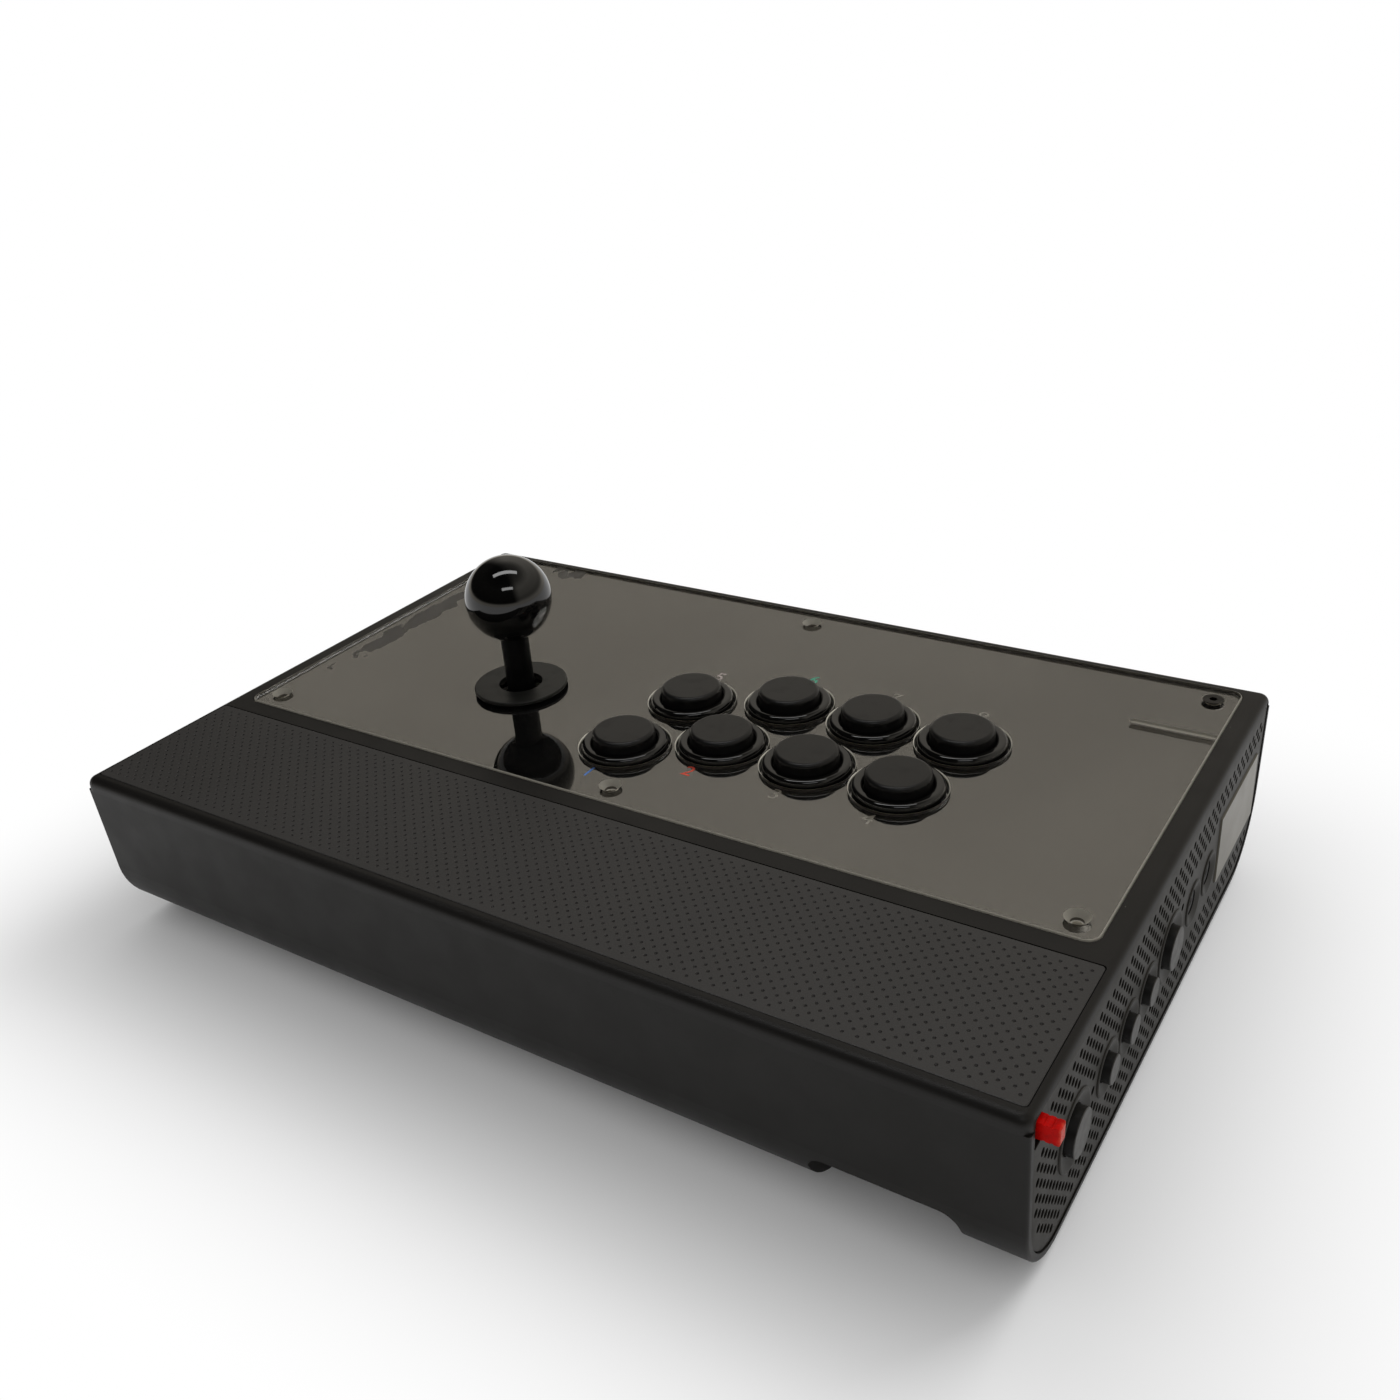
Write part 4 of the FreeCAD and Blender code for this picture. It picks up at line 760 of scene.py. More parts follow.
@dataclass
class EndPanel:
    """Perforated panel in one end of the housing, with collars round the controls on the right.

    A step of a collar's profile is a way in from its edge, in millimetres, and a share of its rise.
    """

    side: Side
    corner: float = 1.5 * MM
    corner_steps: int = 16
    front_round: float = 23.1 * MM
    rear_round: float = 27.1 * MM
    front_lean: float = 0.050
    rear_lean: float = 0.087
    edge: float = 0.25 * MM
    hole: float = 1.35 * MM
    hole_edge: float = 0.12 * MM
    hole_steps: int = 14
    row_step: float = 2.8 * MM
    top_row: float = 64.1 * MM
    rows: int = 21
    columns: int = 60
    first_hole: float = -117.5 * MM
    margin: float = 3.5 * MM
    collar_rise: float = 0.6 * MM
    collar_dish: float = 0.5 * MM
    collar_steps: int = 48
    profile: tuple[Point, ...] = ((0.0, 0.0), (0.1, 0.6), (0.4, 0.92), (0.8, 1.0), (1.4, 0.8))
    clear_ring: float = 1.9 * MM
    clear_jacks: float = 5.0 * MM
    clear_windows: Point = (4.5 * MM, 5.5 * MM)
    cap_play: float = 0.3 * MM
    big_collar: float = 12.8 * MM
    small_collar: float = 9.4 * MM
    jack_collar: float = 8.5 * MM
    jack_hole: float = 4.6 * MM
    jack_half: float = 5.5 * MM
    flange: float = 1.5 * MM
    window_round: float = 0.9 * MM
    window_steps: int = 6
    lock_y: float = -119.2 * MM
    lock_half: float = 2.3 * MM
    lock_low: float = 56.4 * MM
    lock_high: float = 66.6 * MM
    post: float = 2.5 * MM
    post_sides: int = 20

    @property
    def node(self) -> str:
        """Name of the solid that the panel stands for."""
        return f"{self.side.name.lower()}_panel"

    @property
    def face(self) -> float:
        """Outer face of the right panel, below its collars."""
        return box("right_panel")[1].x - self.collar_rise

    @property
    def thickness(self) -> float:
        """Thickness of the panel, which both ends share."""
        low, high = box("left_panel")
        return high.x - low.x

    def outline(self, inset: float) -> Loop:
        """Outline of the panel in Y and Z, moved in by an amount."""
        low, high = box(self.node)
        height = high.z - low.z
        corners = [
            (low.y + self.front_lean * height, low.z),
            (high.y - self.rear_lean * height, low.z),
            (high.y, high.z),
            (low.y, high.z),
        ]
        radii = [self.front_round, self.rear_round, self.corner, self.corner]
        return rounded_outline(corners, radii, self.corner_steps, inset)

    def place(self, y: float, z: float, height: float) -> Spot:
        """Point of the panel at a height over its outer face."""
        if self.side is Side.LEFT:
            return box(self.node)[0].x - height, y, z
        return self.face + height, y, z

    @cached_property
    def collars(self) -> list[tuple[float, float, float, float]]:
        """Controls on the panel as (y, z, collar radius, hole radius)."""
        found = []
        for kind, collar, count in (("large", self.big_collar, 2), ("small", self.small_collar, 3)):
            for n in range(1, count + 1):
                low, high = box(f"side_button_{kind}_{n}")
                cap = (high.y - low.y) / 2 - self.flange
                found.append(((low.y + high.y) / 2, (low.z + high.z) / 2, collar, cap + self.cap_play))
        low, high = box("jack_sockets")
        middle = (low.z + high.z) / 2
        for y in (low.y + self.jack_half, high.y - self.jack_half):
            found.append((y, middle, self.jack_collar, self.jack_hole))
        return found

    @cached_property
    def windows(self) -> list[tuple[float, float, float, float]]:
        """Square openings for the pad and the lock slider, as (y0, y1, z0, z1)."""
        low, high = box("touch_pad")
        trim = self.flange - self.cap_play
        return [
            (low.y + trim, high.y - trim, low.z + trim, high.z - trim),
            (self.lock_y - self.lock_half, self.lock_y + self.lock_half, self.lock_low, self.lock_high),
        ]

    def is_free(self, y: float, z: float) -> bool:
        """Whether a perforation fits at a place, clear of every control."""
        if self.side is Side.LEFT:
            return True
        (first, level, _, _), (last, _, _, _) = self.collars[-2:]
        reach = self.jack_collar + self.clear_jacks
        if first - reach < y < last + reach and abs(z - level) < reach:
            return False
        for cy, cz, collar, _ in self.collars:
            if math.hypot(y - cy, z - cz) < collar + self.clear_ring:
                return False
        for (y0, y1, z0, z1), gap in zip(self.windows, self.clear_windows):
            if y0 - gap < y < y1 + gap and z0 - gap < z < z1 + gap:
                return False
        return True

    def perforation(self) -> list[Cut]:
        """Round holes in staggered rows over the free part of the panel."""
        field = self.outline(self.margin)
        cuts = []
        for row in range(self.rows):
            z = self.top_row - row * self.row_step
            for column in range(self.columns):
                y = self.first_hole + (2 * column + row % 2) * self.row_step
                if inside(field, y, z) and self.is_free(y, z):
                    mouth = circle((y, z), self.hole + self.hole_edge, self.hole_steps)
                    wall = circle((y, z), self.hole, self.hole_steps)
                    cuts.append(self.opening(mouth, wall))
        return cuts

    def opening(self, mouth: Loop, wall: Loop) -> Cut:
        """Hole right through the panel with a small broken edge."""
        # The wall below the broken edge takes finish 1, the darker copy of painted shade.
        return Cut([(mouth, 0.0), (wall, -self.hole_edge), (wall, -self.thickness)], (0, 1))

    def collar_cuts(self) -> list[Cut]:
        """Raised collars that dip towards their holes."""
        cuts = []
        for y, z, collar, hole in self.collars:
            loops = [(circle((y, z), collar - way * MM, self.collar_steps), share * self.collar_rise)
                     for way, share in self.profile]
            rim = circle((y, z), hole, self.collar_steps)
            loops += [(rim, -self.collar_dish), (rim, -self.thickness)]
            # The bore below the collar takes finish 1, the darker copy of painted shade.
            cuts.append(Cut(loops, (0,) * len(self.profile) + (1,)))
        return cuts

    def window_cuts(self) -> list[Cut]:
        """Openings for the pad and the lock slider."""
        cuts = []
        for window in self.windows:
            corners, radii = rectangle(*window), [self.window_round] * 4
            mouth = rounded_outline(corners, radii, self.window_steps, -self.hole_edge)
            cuts.append(self.opening(mouth, rounded_outline(corners, radii, self.window_steps)))
        return cuts

    def add_posts(self, mesh: Mesh) -> None:
        """Add the posts behind the panel that carry the two small boards."""
        shape = bmesh.new()
        shape.from_mesh(mesh)
        back = self.face - self.thickness
        turn = Matrix.Rotation(math.pi / 2, 4, "Y")
        for board in ("side_board", "jack_board"):
            low, high = box(board)
            for y in (low.y + self.post, high.y - self.post):
                for z in (low.z + self.post, high.z - self.post):
                    middle = Matrix.Translation(((high.x + back) / 2, y, z))
                    bmesh.ops.create_cone(shape, cap_ends=True, segments=self.post_sides, radius1=self.post,
                                          radius2=self.post, depth=back - high.x, matrix=middle @ turn)
        store_smooth(shape, mesh)

    def build(self, face: Material, wall: Material) -> Object:
        """Build the panel and put it in the solid's place.

        Args:
            face: The panel's finish.
            wall: The finish inside its holes, a darker copy as painted shade.

        Returns:
            The panel.
        """
        cuts = self.perforation()
        if self.side is Side.RIGHT:
            cuts += self.collar_cuts() + self.window_cuts()
        plate = PlateMesh(self.outline, self.thickness, self.edge, cuts, self.place)
        mesh = plate.build(f"{self.node}_mesh")
        if self.side is Side.RIGHT:
            self.add_posts(mesh)
        return add_piece(f"perforated_{self.node}", mesh, [face, wall], "housing", [self.node])


@dataclass
class Sheet:
    """A sheet that lies level in the place of a solid."""

    node: str
    corner: float
    corner_steps: int

    def outline(self, inset: float) -> Loop:
        """Outline of the sheet seen from above, moved in by an amount."""
        low, high = box(self.node)
        corners = rectangle(low.x, high.x, low.y, high.y)
        return rounded_outline(corners, [self.corner] * 4, self.corner_steps, inset)

    def top(self) -> float:
        """Height of the upper face."""
        return box(self.node)[1].z

    def thickness(self) -> float:
        """Thickness of the sheet."""
        return self.top() - box(self.node)[0].z

    def place(self, x: float, y: float, height: float) -> Spot:
        """Point of the sheet at a height over its upper face."""
        return x, y, self.top() + height

    def mesh(self, name: str, edge: float, cuts: list[Cut], edge_finish: int = 0) -> Mesh:
        """Mesh of the sheet.

        Args:
            name: Name of the mesh.
            edge: Size of its broken upper edge.
            cuts: Its holes and pockets.
            edge_finish: Finish number of its outer wall.

        Returns:
            The mesh.
        """
        return PlateMesh(self.outline, self.thickness(), edge, cuts, self.place, edge_finish).build(name)


@dataclass
class WristRest(Sheet):
    """Leatherette inlay in front of the clear plate, with small round dimples in staggered rows.

    A step of a dimple's profile is a share of its radius and a share of its depth.
    """

    node: str = "wrist_rest"
    corner: float = 1.5 * MM
    corner_steps: int = 6
    edge: float = 0.4 * MM
    dimple: float = 0.64 * MM
    depth: float = 0.26 * MM
    pitch: float = 4.6 * MM
    margin: float = 1.8 * MM
    profile: tuple[Point, ...] = ((1.0, 0.0), (0.82, 0.35), (0.6, 0.8), (0.35, 1.0))
    dimple_steps: int = 10

    def dimples(self) -> list[Cut]:
        """Small round dimples in rows, every second row shifted by half a step."""
        low, high = box(self.node)
        middle = centre(self.node)
        half = self.pitch / 2
        columns = int(((high.x - low.x) / 2 - self.margin) / half)
        rows = int(((high.y - low.y) / 2 - self.margin) / half)
        cuts = []
        for row in range(-rows, rows + 1):
            for column in range(-columns, columns + 1):
                if (row + column) % 2 == 0:
                    place = (middle[0] + column * half, middle[1] + row * half)
                    loops = [(circle(place, self.dimple * wide, self.dimple_steps), -self.depth * deep)
                             for wide, deep in self.profile]
                    # Dimple walls and floor take finish 1, the darker leatherette of painted shade.
                    cuts.append(Cut(loops, (0, 1), True))
        return cuts

    def build(self, leather: Material, dark: Material) -> Object:
        """Build the inlay.

        Args:
            leather: Its finish.
            dark: The finish inside the dimples, darker leatherette as painted shade.

        Returns:
            The inlay.
        """
        mesh = self.mesh("wrist_rest_mesh", self.edge, self.dimples())
        return add_piece("dimpled_wrist_rest", mesh, [leather, dark], "housing", [self.node])


@dataclass
class TopSheet(Sheet):
    """What the clear plate and the film under it share: buttons, lever and screw places."""

    node: str
    corner: float = 5.0 * MM
    corner_steps: int = 10
    lever_hole: float = 12.0 * MM
    screw_edge_x: float = 9.2 * MM
    screw_edge_y: float = 10.1 * MM

    def controls(self, button_hole: float) -> list[tuple[Point, float]]:
        """Holes for the eight buttons and the lever, as (middle, radius)."""
        found = [(centre(f"button_plunger_{n}"), button_hole) for n in BUTTONS]
        return found + [(centre("dust_washer"), self.lever_hole)]

    def screws(self) -> list[Point]:
        """Middles of the six screw places."""
        low, high = box(self.node)
        across = (low.x + self.screw_edge_x, (low.x + high.x) / 2, high.x - self.screw_edge_x)
        return [(x, y) for x in across for y in (low.y + self.screw_edge_y, high.y - self.screw_edge_y)]


@dataclass
class ClearPlate(TopSheet):
    """Clear plate with frosted edges, countersinks and a milled light slot at the rear right.

    The slot's left end is rounded by a share of its width, and its right end by a small corner.
    """

    node: str = "acrylic_plate"
    chamfer: float = 0.5 * MM
    button_hole: float = 17.6 * MM
    hole_chamfer: float = 0.3 * MM
    hole_line: float = 0.8 * MM
    hole_steps: int = 64
    screw_hole: float = 2.2 * MM
    sink: float = 4.2 * MM
    sink_steps: int = 40
    slot_long: float = 32.0 * MM
    slot_wide: float = 3.2 * MM
    slot_deep: float = 0.8 * MM
    slot_lean: float = 0.2 * MM
    slot_from_rear: float = 39.0 * MM
    slot_end: float = 0.7 * MM
    slot_round: float = 0.45
    slot_corner: float = 0.3 * MM
    slot_steps: int = 8
    frosted: int = 1
    dull: int = 2
    edge: int = 3

    def slot(self) -> Cut:
        """Pocket of the light slot."""
        high = box(self.node)[1]
        y, half = high.y - self.slot_from_rear, self.slot_wide / 2
        corners = rectangle(high.x - self.slot_long, high.x - self.slot_end, y - half, y + half)
        left = self.slot_wide * self.slot_round
        radii = [left, self.slot_corner, self.slot_corner, left]
        loops = [(rounded_outline(corners, radii, self.slot_steps), 0.0),
                 (rounded_outline(corners, radii, self.slot_steps, self.slot_lean), -self.slot_deep)]
        return Cut(loops, (self.frosted,), True)

    def cuts(self) -> list[Cut]:
        """Holes and the slot, with the finish of each cut face."""
        deep = self.thickness()
        found = []
        for middle, radius in self.controls(self.button_hole):
            wide = circle(middle, radius + self.hole_chamfer, self.hole_steps)
            ring = circle(middle, radius, self.hole_steps)
            loops = [(wide, 0.0), (ring, -self.hole_chamfer), (ring, -self.hole_line), (ring, -deep)]
            found.append(Cut(loops, (self.edge, self.edge, self.dull)))
        for middle in self.screws():
            wide = circle(middle, self.sink, self.sink_steps)
            ring = circle(middle, self.screw_hole, self.sink_steps)
            loops = [(wide, 0.0), (ring, self.screw_hole - self.sink), (ring, -deep)]
            found.append(Cut(loops, (self.frosted, self.dull)))
        return found + [self.slot()]

    def build(self, clear: Material, frosted: Material, dull: Material, edge: Material) -> Object:
        """Build the plate.

        Args:
            clear: Finish of its faces.
            frosted: Finish of its outer wall, countersinks and slot.
            dull: Finish of the walls of its holes.
            edge: Finish of the broken edges round its controls.

        Returns:
            The plate.
        """
        mesh = self.mesh("clear_plate_mesh", self.chamfer, self.cuts(), self.frosted)
        return add_piece("clear_plate", mesh, [clear, frosted, dull, edge], "housing", [self.node])


@dataclass
class PrintSheet(TopSheet):
    """Printed film under the clear plate, with a small number by each button."""

    node: str = "art_sheet"
    air: float = 0.06 * MM
    edge: float = 0.02 * MM
    button_hole: float = 15.0 * MM
    screw_hole: float = 3.0 * MM
    hole_steps: int = 48
    number_size: float = 9.0 * MM
    number_rise: float = 0.03 * MM
    number_thick: float = 0.02 * MM
    number_bold: float = 0.02 * MM
    weld: float = 0.002 * MM
    front_row: int = 4
    front_shift: Point = (-1.2 * MM, -21.7 * MM)
    rear_shift: Point = (-1.6 * MM, 23.2 * MM)
    inks: tuple[Ink, ...] = (Ink.BLUE, Ink.RED, Ink.GREY, Ink.GREY, Ink.PALE, Ink.GREEN, Ink.GREY, Ink.GREY)

    def top(self) -> float:
        """Height of the printed face, a hair below the clear plate."""
        return super().top() - self.air

    def build(self, material: Material) -> Object:
        """Build the film.

        Args:
            material: The film's finish.

        Returns:
            The film.
        """
        cuts = []
        for middle, radius in self.controls(self.button_hole) + [(s, self.screw_hole) for s in self.screws()]:
            ring = circle(middle, radius, self.hole_steps)
            cuts.append(Cut([(ring, 0.0), (ring, -self.thickness())]))
        mesh = self.mesh("printed_film_mesh", self.edge, cuts)
        return add_piece("printed_film", mesh, [material], "housing", [self.node])

    def number(self, digit: int, material: Material) -> Object:
        """Build the printed number by one button.

        Args:
            digit: The button's number, 1 to 8.
            material: The ink.

        Returns:
            The number, a thin flat piece on the film.
        """
        name = f"number_{digit}"
        text = bpy.data.curves.new(name, "FONT")
        text.body = str(digit)
        text.size = self.number_size
        text.align_x = "CENTER"
        text.align_y = "CENTER"
        text.extrude = self.number_thick / 2
        text.offset = self.number_bold
        holder = add_object(f"{name}_text", text)
        bpy.context.view_layer.update()
        flat = bpy.data.meshes.new_from_object(holder.evaluated_get(bpy.context.evaluated_depsgraph_get()))
        bpy.data.objects.remove(holder)
        shift = self.front_shift if digit <= self.front_row else self.rear_shift
        x, y = centre(f"button_plunger_{digit}")
        shape = bmesh.new()
        shape.from_mesh(flat)
        bpy.data.meshes.remove(flat)
        bmesh.ops.remove_doubles(shape, verts=shape.verts, dist=self.weld)
        shape.transform(Matrix.Translation((x + shift[0], y + shift[1], self.top() + self.number_rise)))
        return add_piece(name, finished_mesh(f"{name}_mesh", shape), [material], "housing")


@dataclass
class Finishes:
    """The colours of the object, and the finish of every surface."""

    shell: Rgb = linear(15, 13, 10)
    bezel: Rgb = linear(18, 16, 14)
    panel: Rgb = linear(38, 36, 32)
    # Painted shade: darker tone on the walls inside the panel holes and on the sides of the side caps.
    hole_wall: Rgb = linear(14, 13, 11)
    pad: Rgb = linear(98, 94, 84)
    leather: Rgb = linear(37, 35, 34)
    # Painted shade: darker leatherette inside the dimples of the wrist rest.
    dimple: Rgb = linear(31, 29, 28)
    black: Rgb = linear(4, 4, 4)
    button: Rgb = linear(6, 5, 5)
    washer: Rgb = linear(20, 20, 18)
    film: Rgb = linear(8, 8, 8)
    patch: Rgb = linear(32, 30, 26)
    clear: Rgb = (0.995, 0.99, 0.98)
    frost: Rgb = linear(168, 163, 150)
    dull: Rgb = linear(84, 80, 73)
    broken: Rgb = linear(214, 209, 194)
    red: Rgb = linear(172, 3, 0)
    # Painted highlight: pale colour on the outer end of the lock slider.
    worn_red: Rgb = linear(226, 120, 92)
    steel: Rgb = linear(186, 184, 178)
    dark_steel: Rgb = linear(40, 38, 36)
    brass: Rgb = linear(226, 221, 208)
    board: Rgb = linear(10, 34, 22)
    rubber: Rgb = linear(24, 24, 24)
    switch: Rgb = linear(12, 12, 12)
    pivot: Rgb = linear(202, 198, 186)

    def panel_finishes(self) -> list[Material]:
        """Grey plastic of the end panels, and a darker copy inside their holes as painted shade."""
        return [MouldedPlastic("panel_grey", self.panel, 0.5, 0.12, dust=0.04).make(),
                MouldedPlastic("panel_hole_shade", self.hole_wall, 0.6, 0.15).make()]

    def plate_finishes(self) -> list[Material]:
        """Clear face, frosted wall, dull hole walls and pale hole edges of the clear plate."""
        return [ClearPlastic("acrylic", self.clear).make(),
                FrostedPlastic("acrylic_frosted", self.frost).make(),
                MouldedPlastic("acrylic_dull", self.dull, 0.4, 0.3, cloud=0.10).make(),
                MouldedPlastic("acrylic_edge", self.broken, 0.4, 0.3, cloud=0.10).make()]

    def leather_finishes(self) -> list[Material]:
        """Leatherette of the wrist rest, and a darker copy with less sheen inside the dimples as painted
        shade.
        """
        return [Leatherette("leatherette", self.leather).make(),
                Leatherette("leatherette_dimple_shade", self.dimple, 0.2).make()]

    def film_finish(self) -> Material:
        """Printed film under the clear plate."""
        return GlossFilm("print_film", self.film, self.patch, self.frost).make()

    def ink_finish(self, ink: Ink) -> Material:
        """Printing ink of one colour."""
        return PrintInk(f"ink_{ink.name.lower()}", linear(*ink.value)).make()

    def groups(self) -> list[tuple[Finish, list[str]]]:
        """Each finish with the names of the solids that have it.

        Returns:
            Pairs of a finish and its solids.
        """
        rims = [f"button_rim_{n}" for n in BUTTONS]
        plungers = [f"button_plunger_{n}" for n in BUTTONS]
        caps = [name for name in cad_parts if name.startswith("side_button")]
        cap_tip, knob_tip = box("side_button_large_1")[1].x, box("lock_slider")[1].x
        return [
            (MouldedPlastic("shell_black", self.shell, 0.5, 0.22, dust=0.03), ["base_shell"]),
            (MouldedPlastic("bezel_black", self.bezel, 0.46, 0.22, dust=0.05), ["top_cover"]),
            (MouldedPlastic("pad_grey", self.pad, 0.4, 0.45, 0.2 * MM, 0.006 * MM, dust=0.05), ["touch_pad"]),
            (MouldedPlastic("switch_black", self.switch, 0.5, 0.2),
             ["jack_sockets", "side_switches", "button_switches", "lever_switches", "lever_body"]),
            (MouldedPlastic("pivot_plastic", self.pivot, 0.4),
             ["pivot_ring", "lever_actuator", "lever_gate"]),
            (GlossPlastic("gloss_black", self.black, 0.05, 0.05), ["lever_ball"] + rims),
            (GlossPlastic("sleeve_black", self.black, 0.28, 0.08, 0.15), ["shaft_cover"]),
            (GlossPlastic("button_black", self.button, 0.34, 0.08, 0.30), plungers),
            (GlossPlastic("washer_black", self.washer, 0.4, 0.08, 0.25), ["dust_washer"]),
            (FacedCap("cap_grey", self.panel, self.hole_wall, cap_tip), caps),
            (WornKnob("knob_red", self.red, self.worn_red, knob_tip), ["lock_slider"]),
            (Metal("steel", self.steel),
             ["base_screws", "lever_shaft", "pivot_pin", "lever_clip", "lever_plate", "lever_bolts",
              "lever_spring", "usb_inlet"]),
            (Metal("dark_steel", self.dark_steel, 0.38), ["control_plate", "plate_screw"]),
            (Metal("brass", self.brass, 0.3, 0.4), ["plate_inserts"]),
            (Rubber("rubber", self.rubber), ["rubber_feet"]),
            (CircuitBoard("board", self.board), ["side_board", "jack_board", "main_board"]),
        ]

    def dress(self) -> None:
        """Put the finishes on the solids."""
        for finish, names in self.groups():
            material = finish.make()
            for name in names:
                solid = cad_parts[name]
                if not solid.material_slots:
                    solid.data.materials.append(material)
                for slot in solid.material_slots:
                    slot.material = material
                log.info("%s: %s", name, material.name)


@dataclass(frozen=True)
class Lamp:
    """A soft lamp: where it hangs, the point that it faces, its width and height, and its watts."""

    name: str
    place: Spot
    target: Spot
    size: Point
    power: float

    def build(self) -> Object:
        """Hang the lamp and return it."""
        light = bpy.data.lights.new(self.name, "AREA")
        light.shape = "RECTANGLE"
        light.size, light.size_y = self.size
        light.energy = self.power
        lamp = add_object(self.name, light)
        lamp.matrix_world = facing(self.place, self.target)
        return lamp


def facing(place: Spot, target: Spot) -> Matrix:
    """Place of a camera or a lamp that looks at a target."""
    ahead = Vector(target) - Vector(place)
    return Matrix.Translation(place) @ ahead.to_track_quat("-Z", "Y").to_matrix().to_4x4()


@dataclass
class Studio:
    """Camera, lamps, surroundings and floor.

    The wall levels are what gloss sees of the surroundings, as (height, brightness), from the horizon up.
    """

    eye: Spot = (0.26935, -0.3731, 0.3258)
    aim: Spot = (-0.00867, 0.02804, 0.0708)
    roll: float = math.radians(-4.64)
    lens: float = 35.43
    sensor: float = 36.0
    nearest: float = 0.01
    floor_size: float = 12.0
    floor_drop: float = 0.05 * MM
    floor_tone: float = 0.93
    floor_cloud: float = 0.01
    floor_blotch: float = 0.5
    floor_roughness: float = 0.9
    floor_sides: int = 96
    footprint: Spot = (0.19, 0.12, 0.0)
    shadow_reach: float = 0.13
    soft_level: float = 0.66
    dark_side: float = 0.05
    lit_side: Spot = (0.5, 0.866, 0.0)
    lit_range: Point = (-0.08, 0.30)
    horizon: Point = (0.04, 0.16)
    warm: Rgb = (1.0, 0.94, 0.83)
    wall_levels: tuple[Point, ...] = (
        (0.08, 0.9), (0.20, 0.39), (0.38, 0.50), (0.47, 0.55), (0.56, 0.63), (0.67, 0.67), (0.82, 0.36),
        (0.96, 0.17))
    soft: Lamp = Lamp("soft_right", (0.45, 0.75, 0.95), (0.0, 0.0, 0.07), (0.7, 0.7), 6.0)
    bars: tuple[Lamp, ...] = (
        Lamp("bar_overhead", (-0.13, 0.05, 1.25), (-0.12, 0.04, 0.16), (1.1, 0.2), 4.0),
        Lamp("bar_in_front", (0.49, -0.60, 0.98), (-0.12, 0.04, 0.16), (0.6, 0.15), 1.4))

    def add_camera(self) -> None:
        """Place the camera at the photograph's view."""
        lens = bpy.data.cameras.new("camera")
        lens.lens = self.lens
        lens.sensor_width = self.sensor
        lens.clip_start = self.nearest
        camera = add_object("camera", lens)
        camera.matrix_world = facing(self.eye, self.aim) @ Matrix.Rotation(self.roll, 4, "Z")
        bpy.context.scene.camera = camera

    def add_lamps(self, sheets: Sequence[Object]) -> None:
        """Add a soft lamp behind on the right, and bars of light that show only in rounded gloss.

        Args:
            sheets: Flat glossy pieces that the bars leave out, which would mirror them whole.
        """
        self.soft.build().visible_glossy = False
        left_out = bpy.data.collections.new("left_out_by_bars")
        for sheet in sheets:
            left_out.objects.link(sheet)
        for entry in left_out.collection_objects:
            entry.light_linking.link_state = "EXCLUDE"
        for lamp in self.bars:
            bar = lamp.build()
            bar.visible_diffuse = False
            bar.light_linking.receiver_collection = left_out

    def add_surroundings(self) -> None:
        """White for the camera, warm walls for gloss on the lit side, and soft light all round."""
        world = bpy.data.worlds.new("surroundings")
        bpy.context.scene.world = world
        world.use_nodes = True
        sky = Nodes(world.node_tree)
        rays = sky.add("LightPath").outputs
        place = sky.add("TexCoord").outputs["Generated"]
        height = sky.add("SeparateXYZ", {0: place}).outputs["Z"]
        walls = sky.add("ValToRGB", {0: height})
        walls.color_ramp.interpolation = "CARDINAL"
        stops = walls.color_ramp.elements
        while len(stops) < len(self.wall_levels):
            stops.new(0.5)
        for stop, (position, level) in zip(stops, self.wall_levels):
            stop.position = position
            stop.color = scaled(self.warm, level)
        toward = sky.add("VectorMath", {0: place, 1: self.lit_side}, operation="DOT_PRODUCT")
        lit = sky.remap(toward.outputs["Value"], *self.lit_range, self.dark_side, 1.0)
        wall = sky.blend(sky.remap(height, *self.horizon, 1.0, 0.0), lit, 1.0)
        level = sky.blend(rays["Is Glossy Ray"], self.soft_level, wall)
        seen = sky.math("MAXIMUM", rays["Is Camera Ray"], rays["Is Transmission Ray"])
        light = sky.add("Background", {
            "Color": sky.mix(rays["Is Glossy Ray"], scaled(WHITE), walls.outputs[0]),
            "Strength": sky.blend(seen, level, 1.0),
        })
        sky.add("OutputWorld", {"Surface": light.outputs[0]})

    def floor_finish(self) -> Material:
        """Pale floor that keeps the shadow near the object and turns white further out.

        Returns:
            The floor's material.
        """
        graph = Graph("floor")
        dark = scaled(WHITE, self.floor_tone - self.floor_cloud)
        bright = scaled(WHITE, self.floor_tone + self.floor_cloud)
        graph.set(Base_Color=graph.mix(graph.noise(self.floor_blotch, 2.0), dark, bright),
                  Roughness=self.floor_roughness, Specular_IOR_Level=0.0)
        away = graph.place
        for operation, corner in (("ABSOLUTE", None), ("SUBTRACT", self.footprint),
                                  ("MAXIMUM", (0.0, 0.0, 0.0)), ("LENGTH", None)):
            step = graph.add("VectorMath", {0: away}, operation=operation)
            if corner:
                graph.feed(step, {1: corner})
            away = step.outputs["Value" if operation == "LENGTH" else "Vector"]
        far = graph.remap(away, 0.0, self.shadow_reach)
        rays = graph.add("LightPath").outputs
        seen = graph.math("MAXIMUM", rays["Is Camera Ray"], rays["Is Glossy Ray"])
        seen = graph.math("MAXIMUM", seen, rays["Is Transmission Ray"])
        graph.choose(graph.math("MULTIPLY", far, seen), graph.shader, graph.add("Emission"))
        return graph.material

    def add_floor(self) -> None:
        """Lay the floor under the feet."""
        shape = bmesh.new()
        bmesh.ops.create_circle(shape, cap_ends=True, radius=self.floor_size / 2, segments=self.floor_sides)
        mesh = bpy.data.meshes.new("floor")
        shape.to_mesh(mesh)
        shape.free()
        mesh.materials.append(self.floor_finish())
        floor = add_object("floor", mesh)
        floor.location.z = -self.floor_drop

    def build(self, sheets: Sequence[Object]) -> None:
        """Set up everything round the object, with the flat glossy sheets left out by the bars of light."""
        bpy.context.scene.view_settings.view_transform = "Standard"
        self.add_camera()
        self.add_lamps(sheets)
        self.add_surroundings()
        self.add_floor()


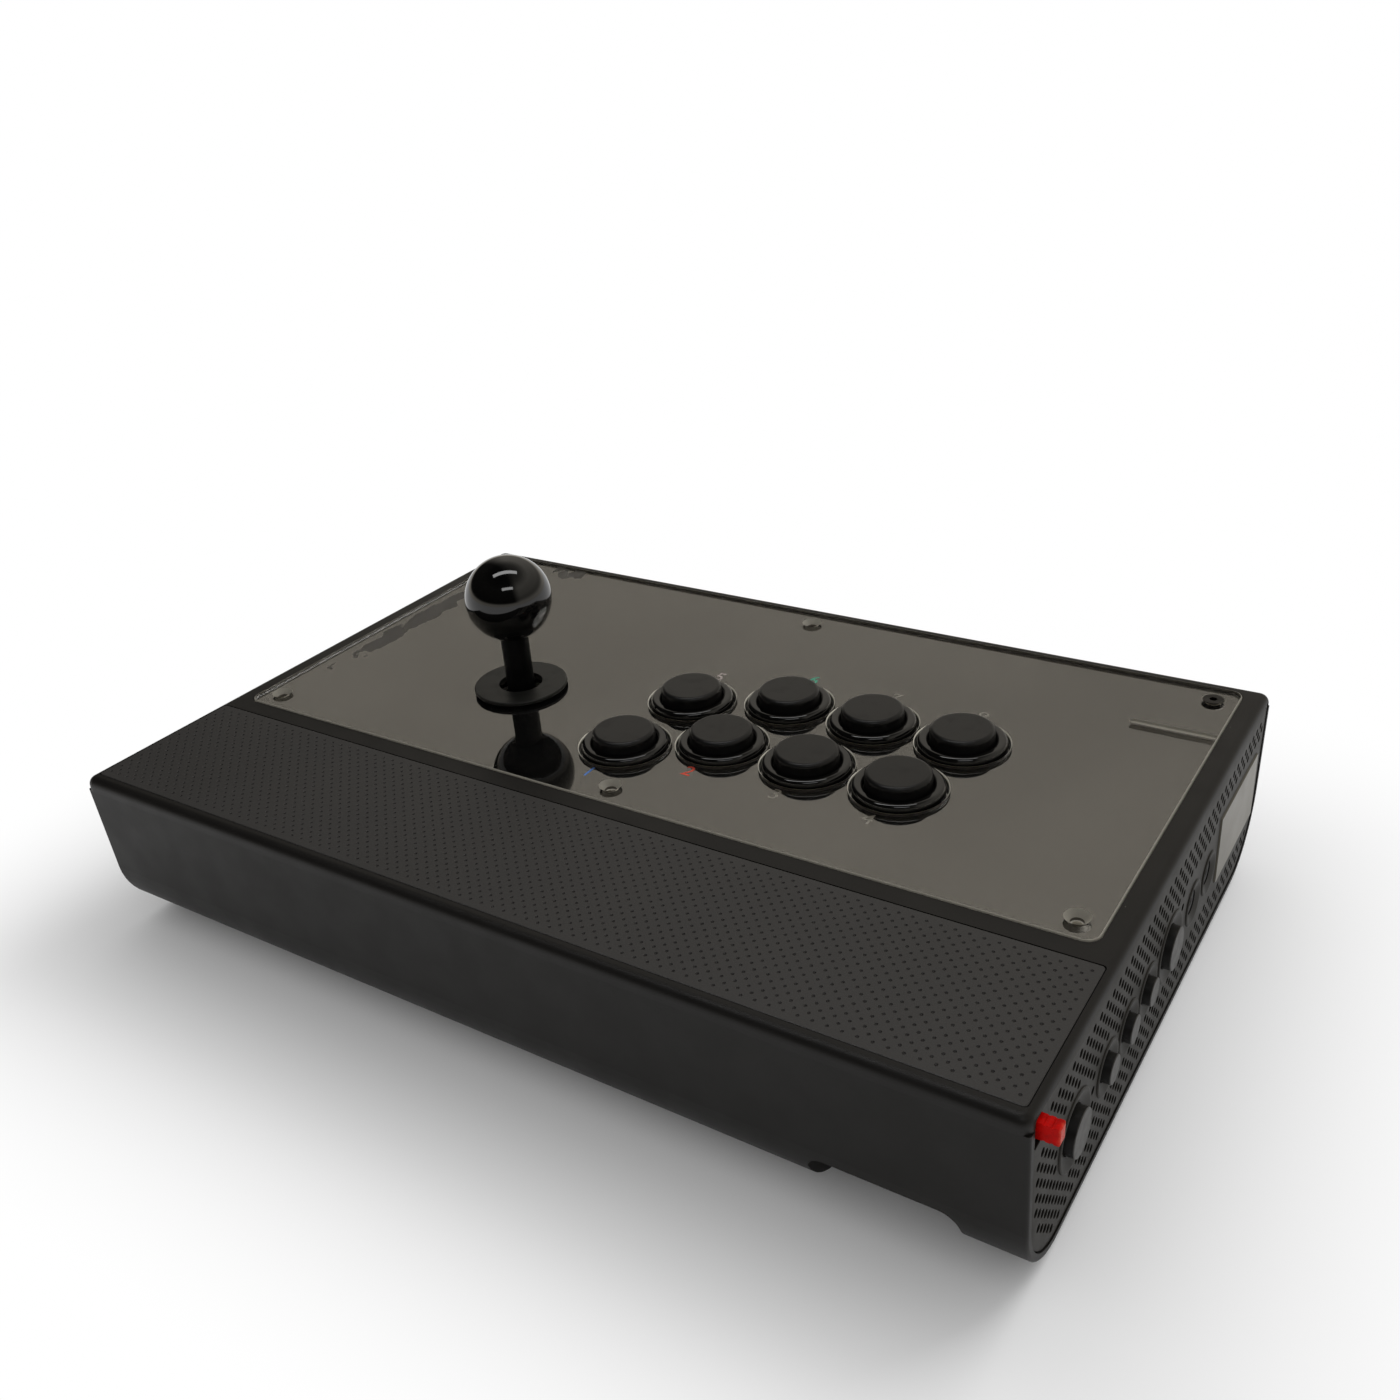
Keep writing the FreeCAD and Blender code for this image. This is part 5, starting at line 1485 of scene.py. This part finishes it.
def main() -> None:
    """Build the pieces in order and dress the solids."""
    logging.basicConfig(level=logging.INFO, format="%(name)s: %(message)s")
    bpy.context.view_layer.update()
    finishes = Finishes()
    finishes.dress()
    panel_finishes = finishes.panel_finishes()
    for side in Side:
        EndPanel(side).build(*panel_finishes)
    WristRest().build(*finishes.leather_finishes())
    plate = ClearPlate().build(*finishes.plate_finishes())
    sheet = PrintSheet()
    film = sheet.build(finishes.film_finish())
    inks = {ink: finishes.ink_finish(ink) for ink in Ink}
    for digit, ink in enumerate(sheet.inks, 1):
        sheet.number(digit, inks[ink])
    Studio().build([plate, film])


if __name__ == "__main__":
    main()
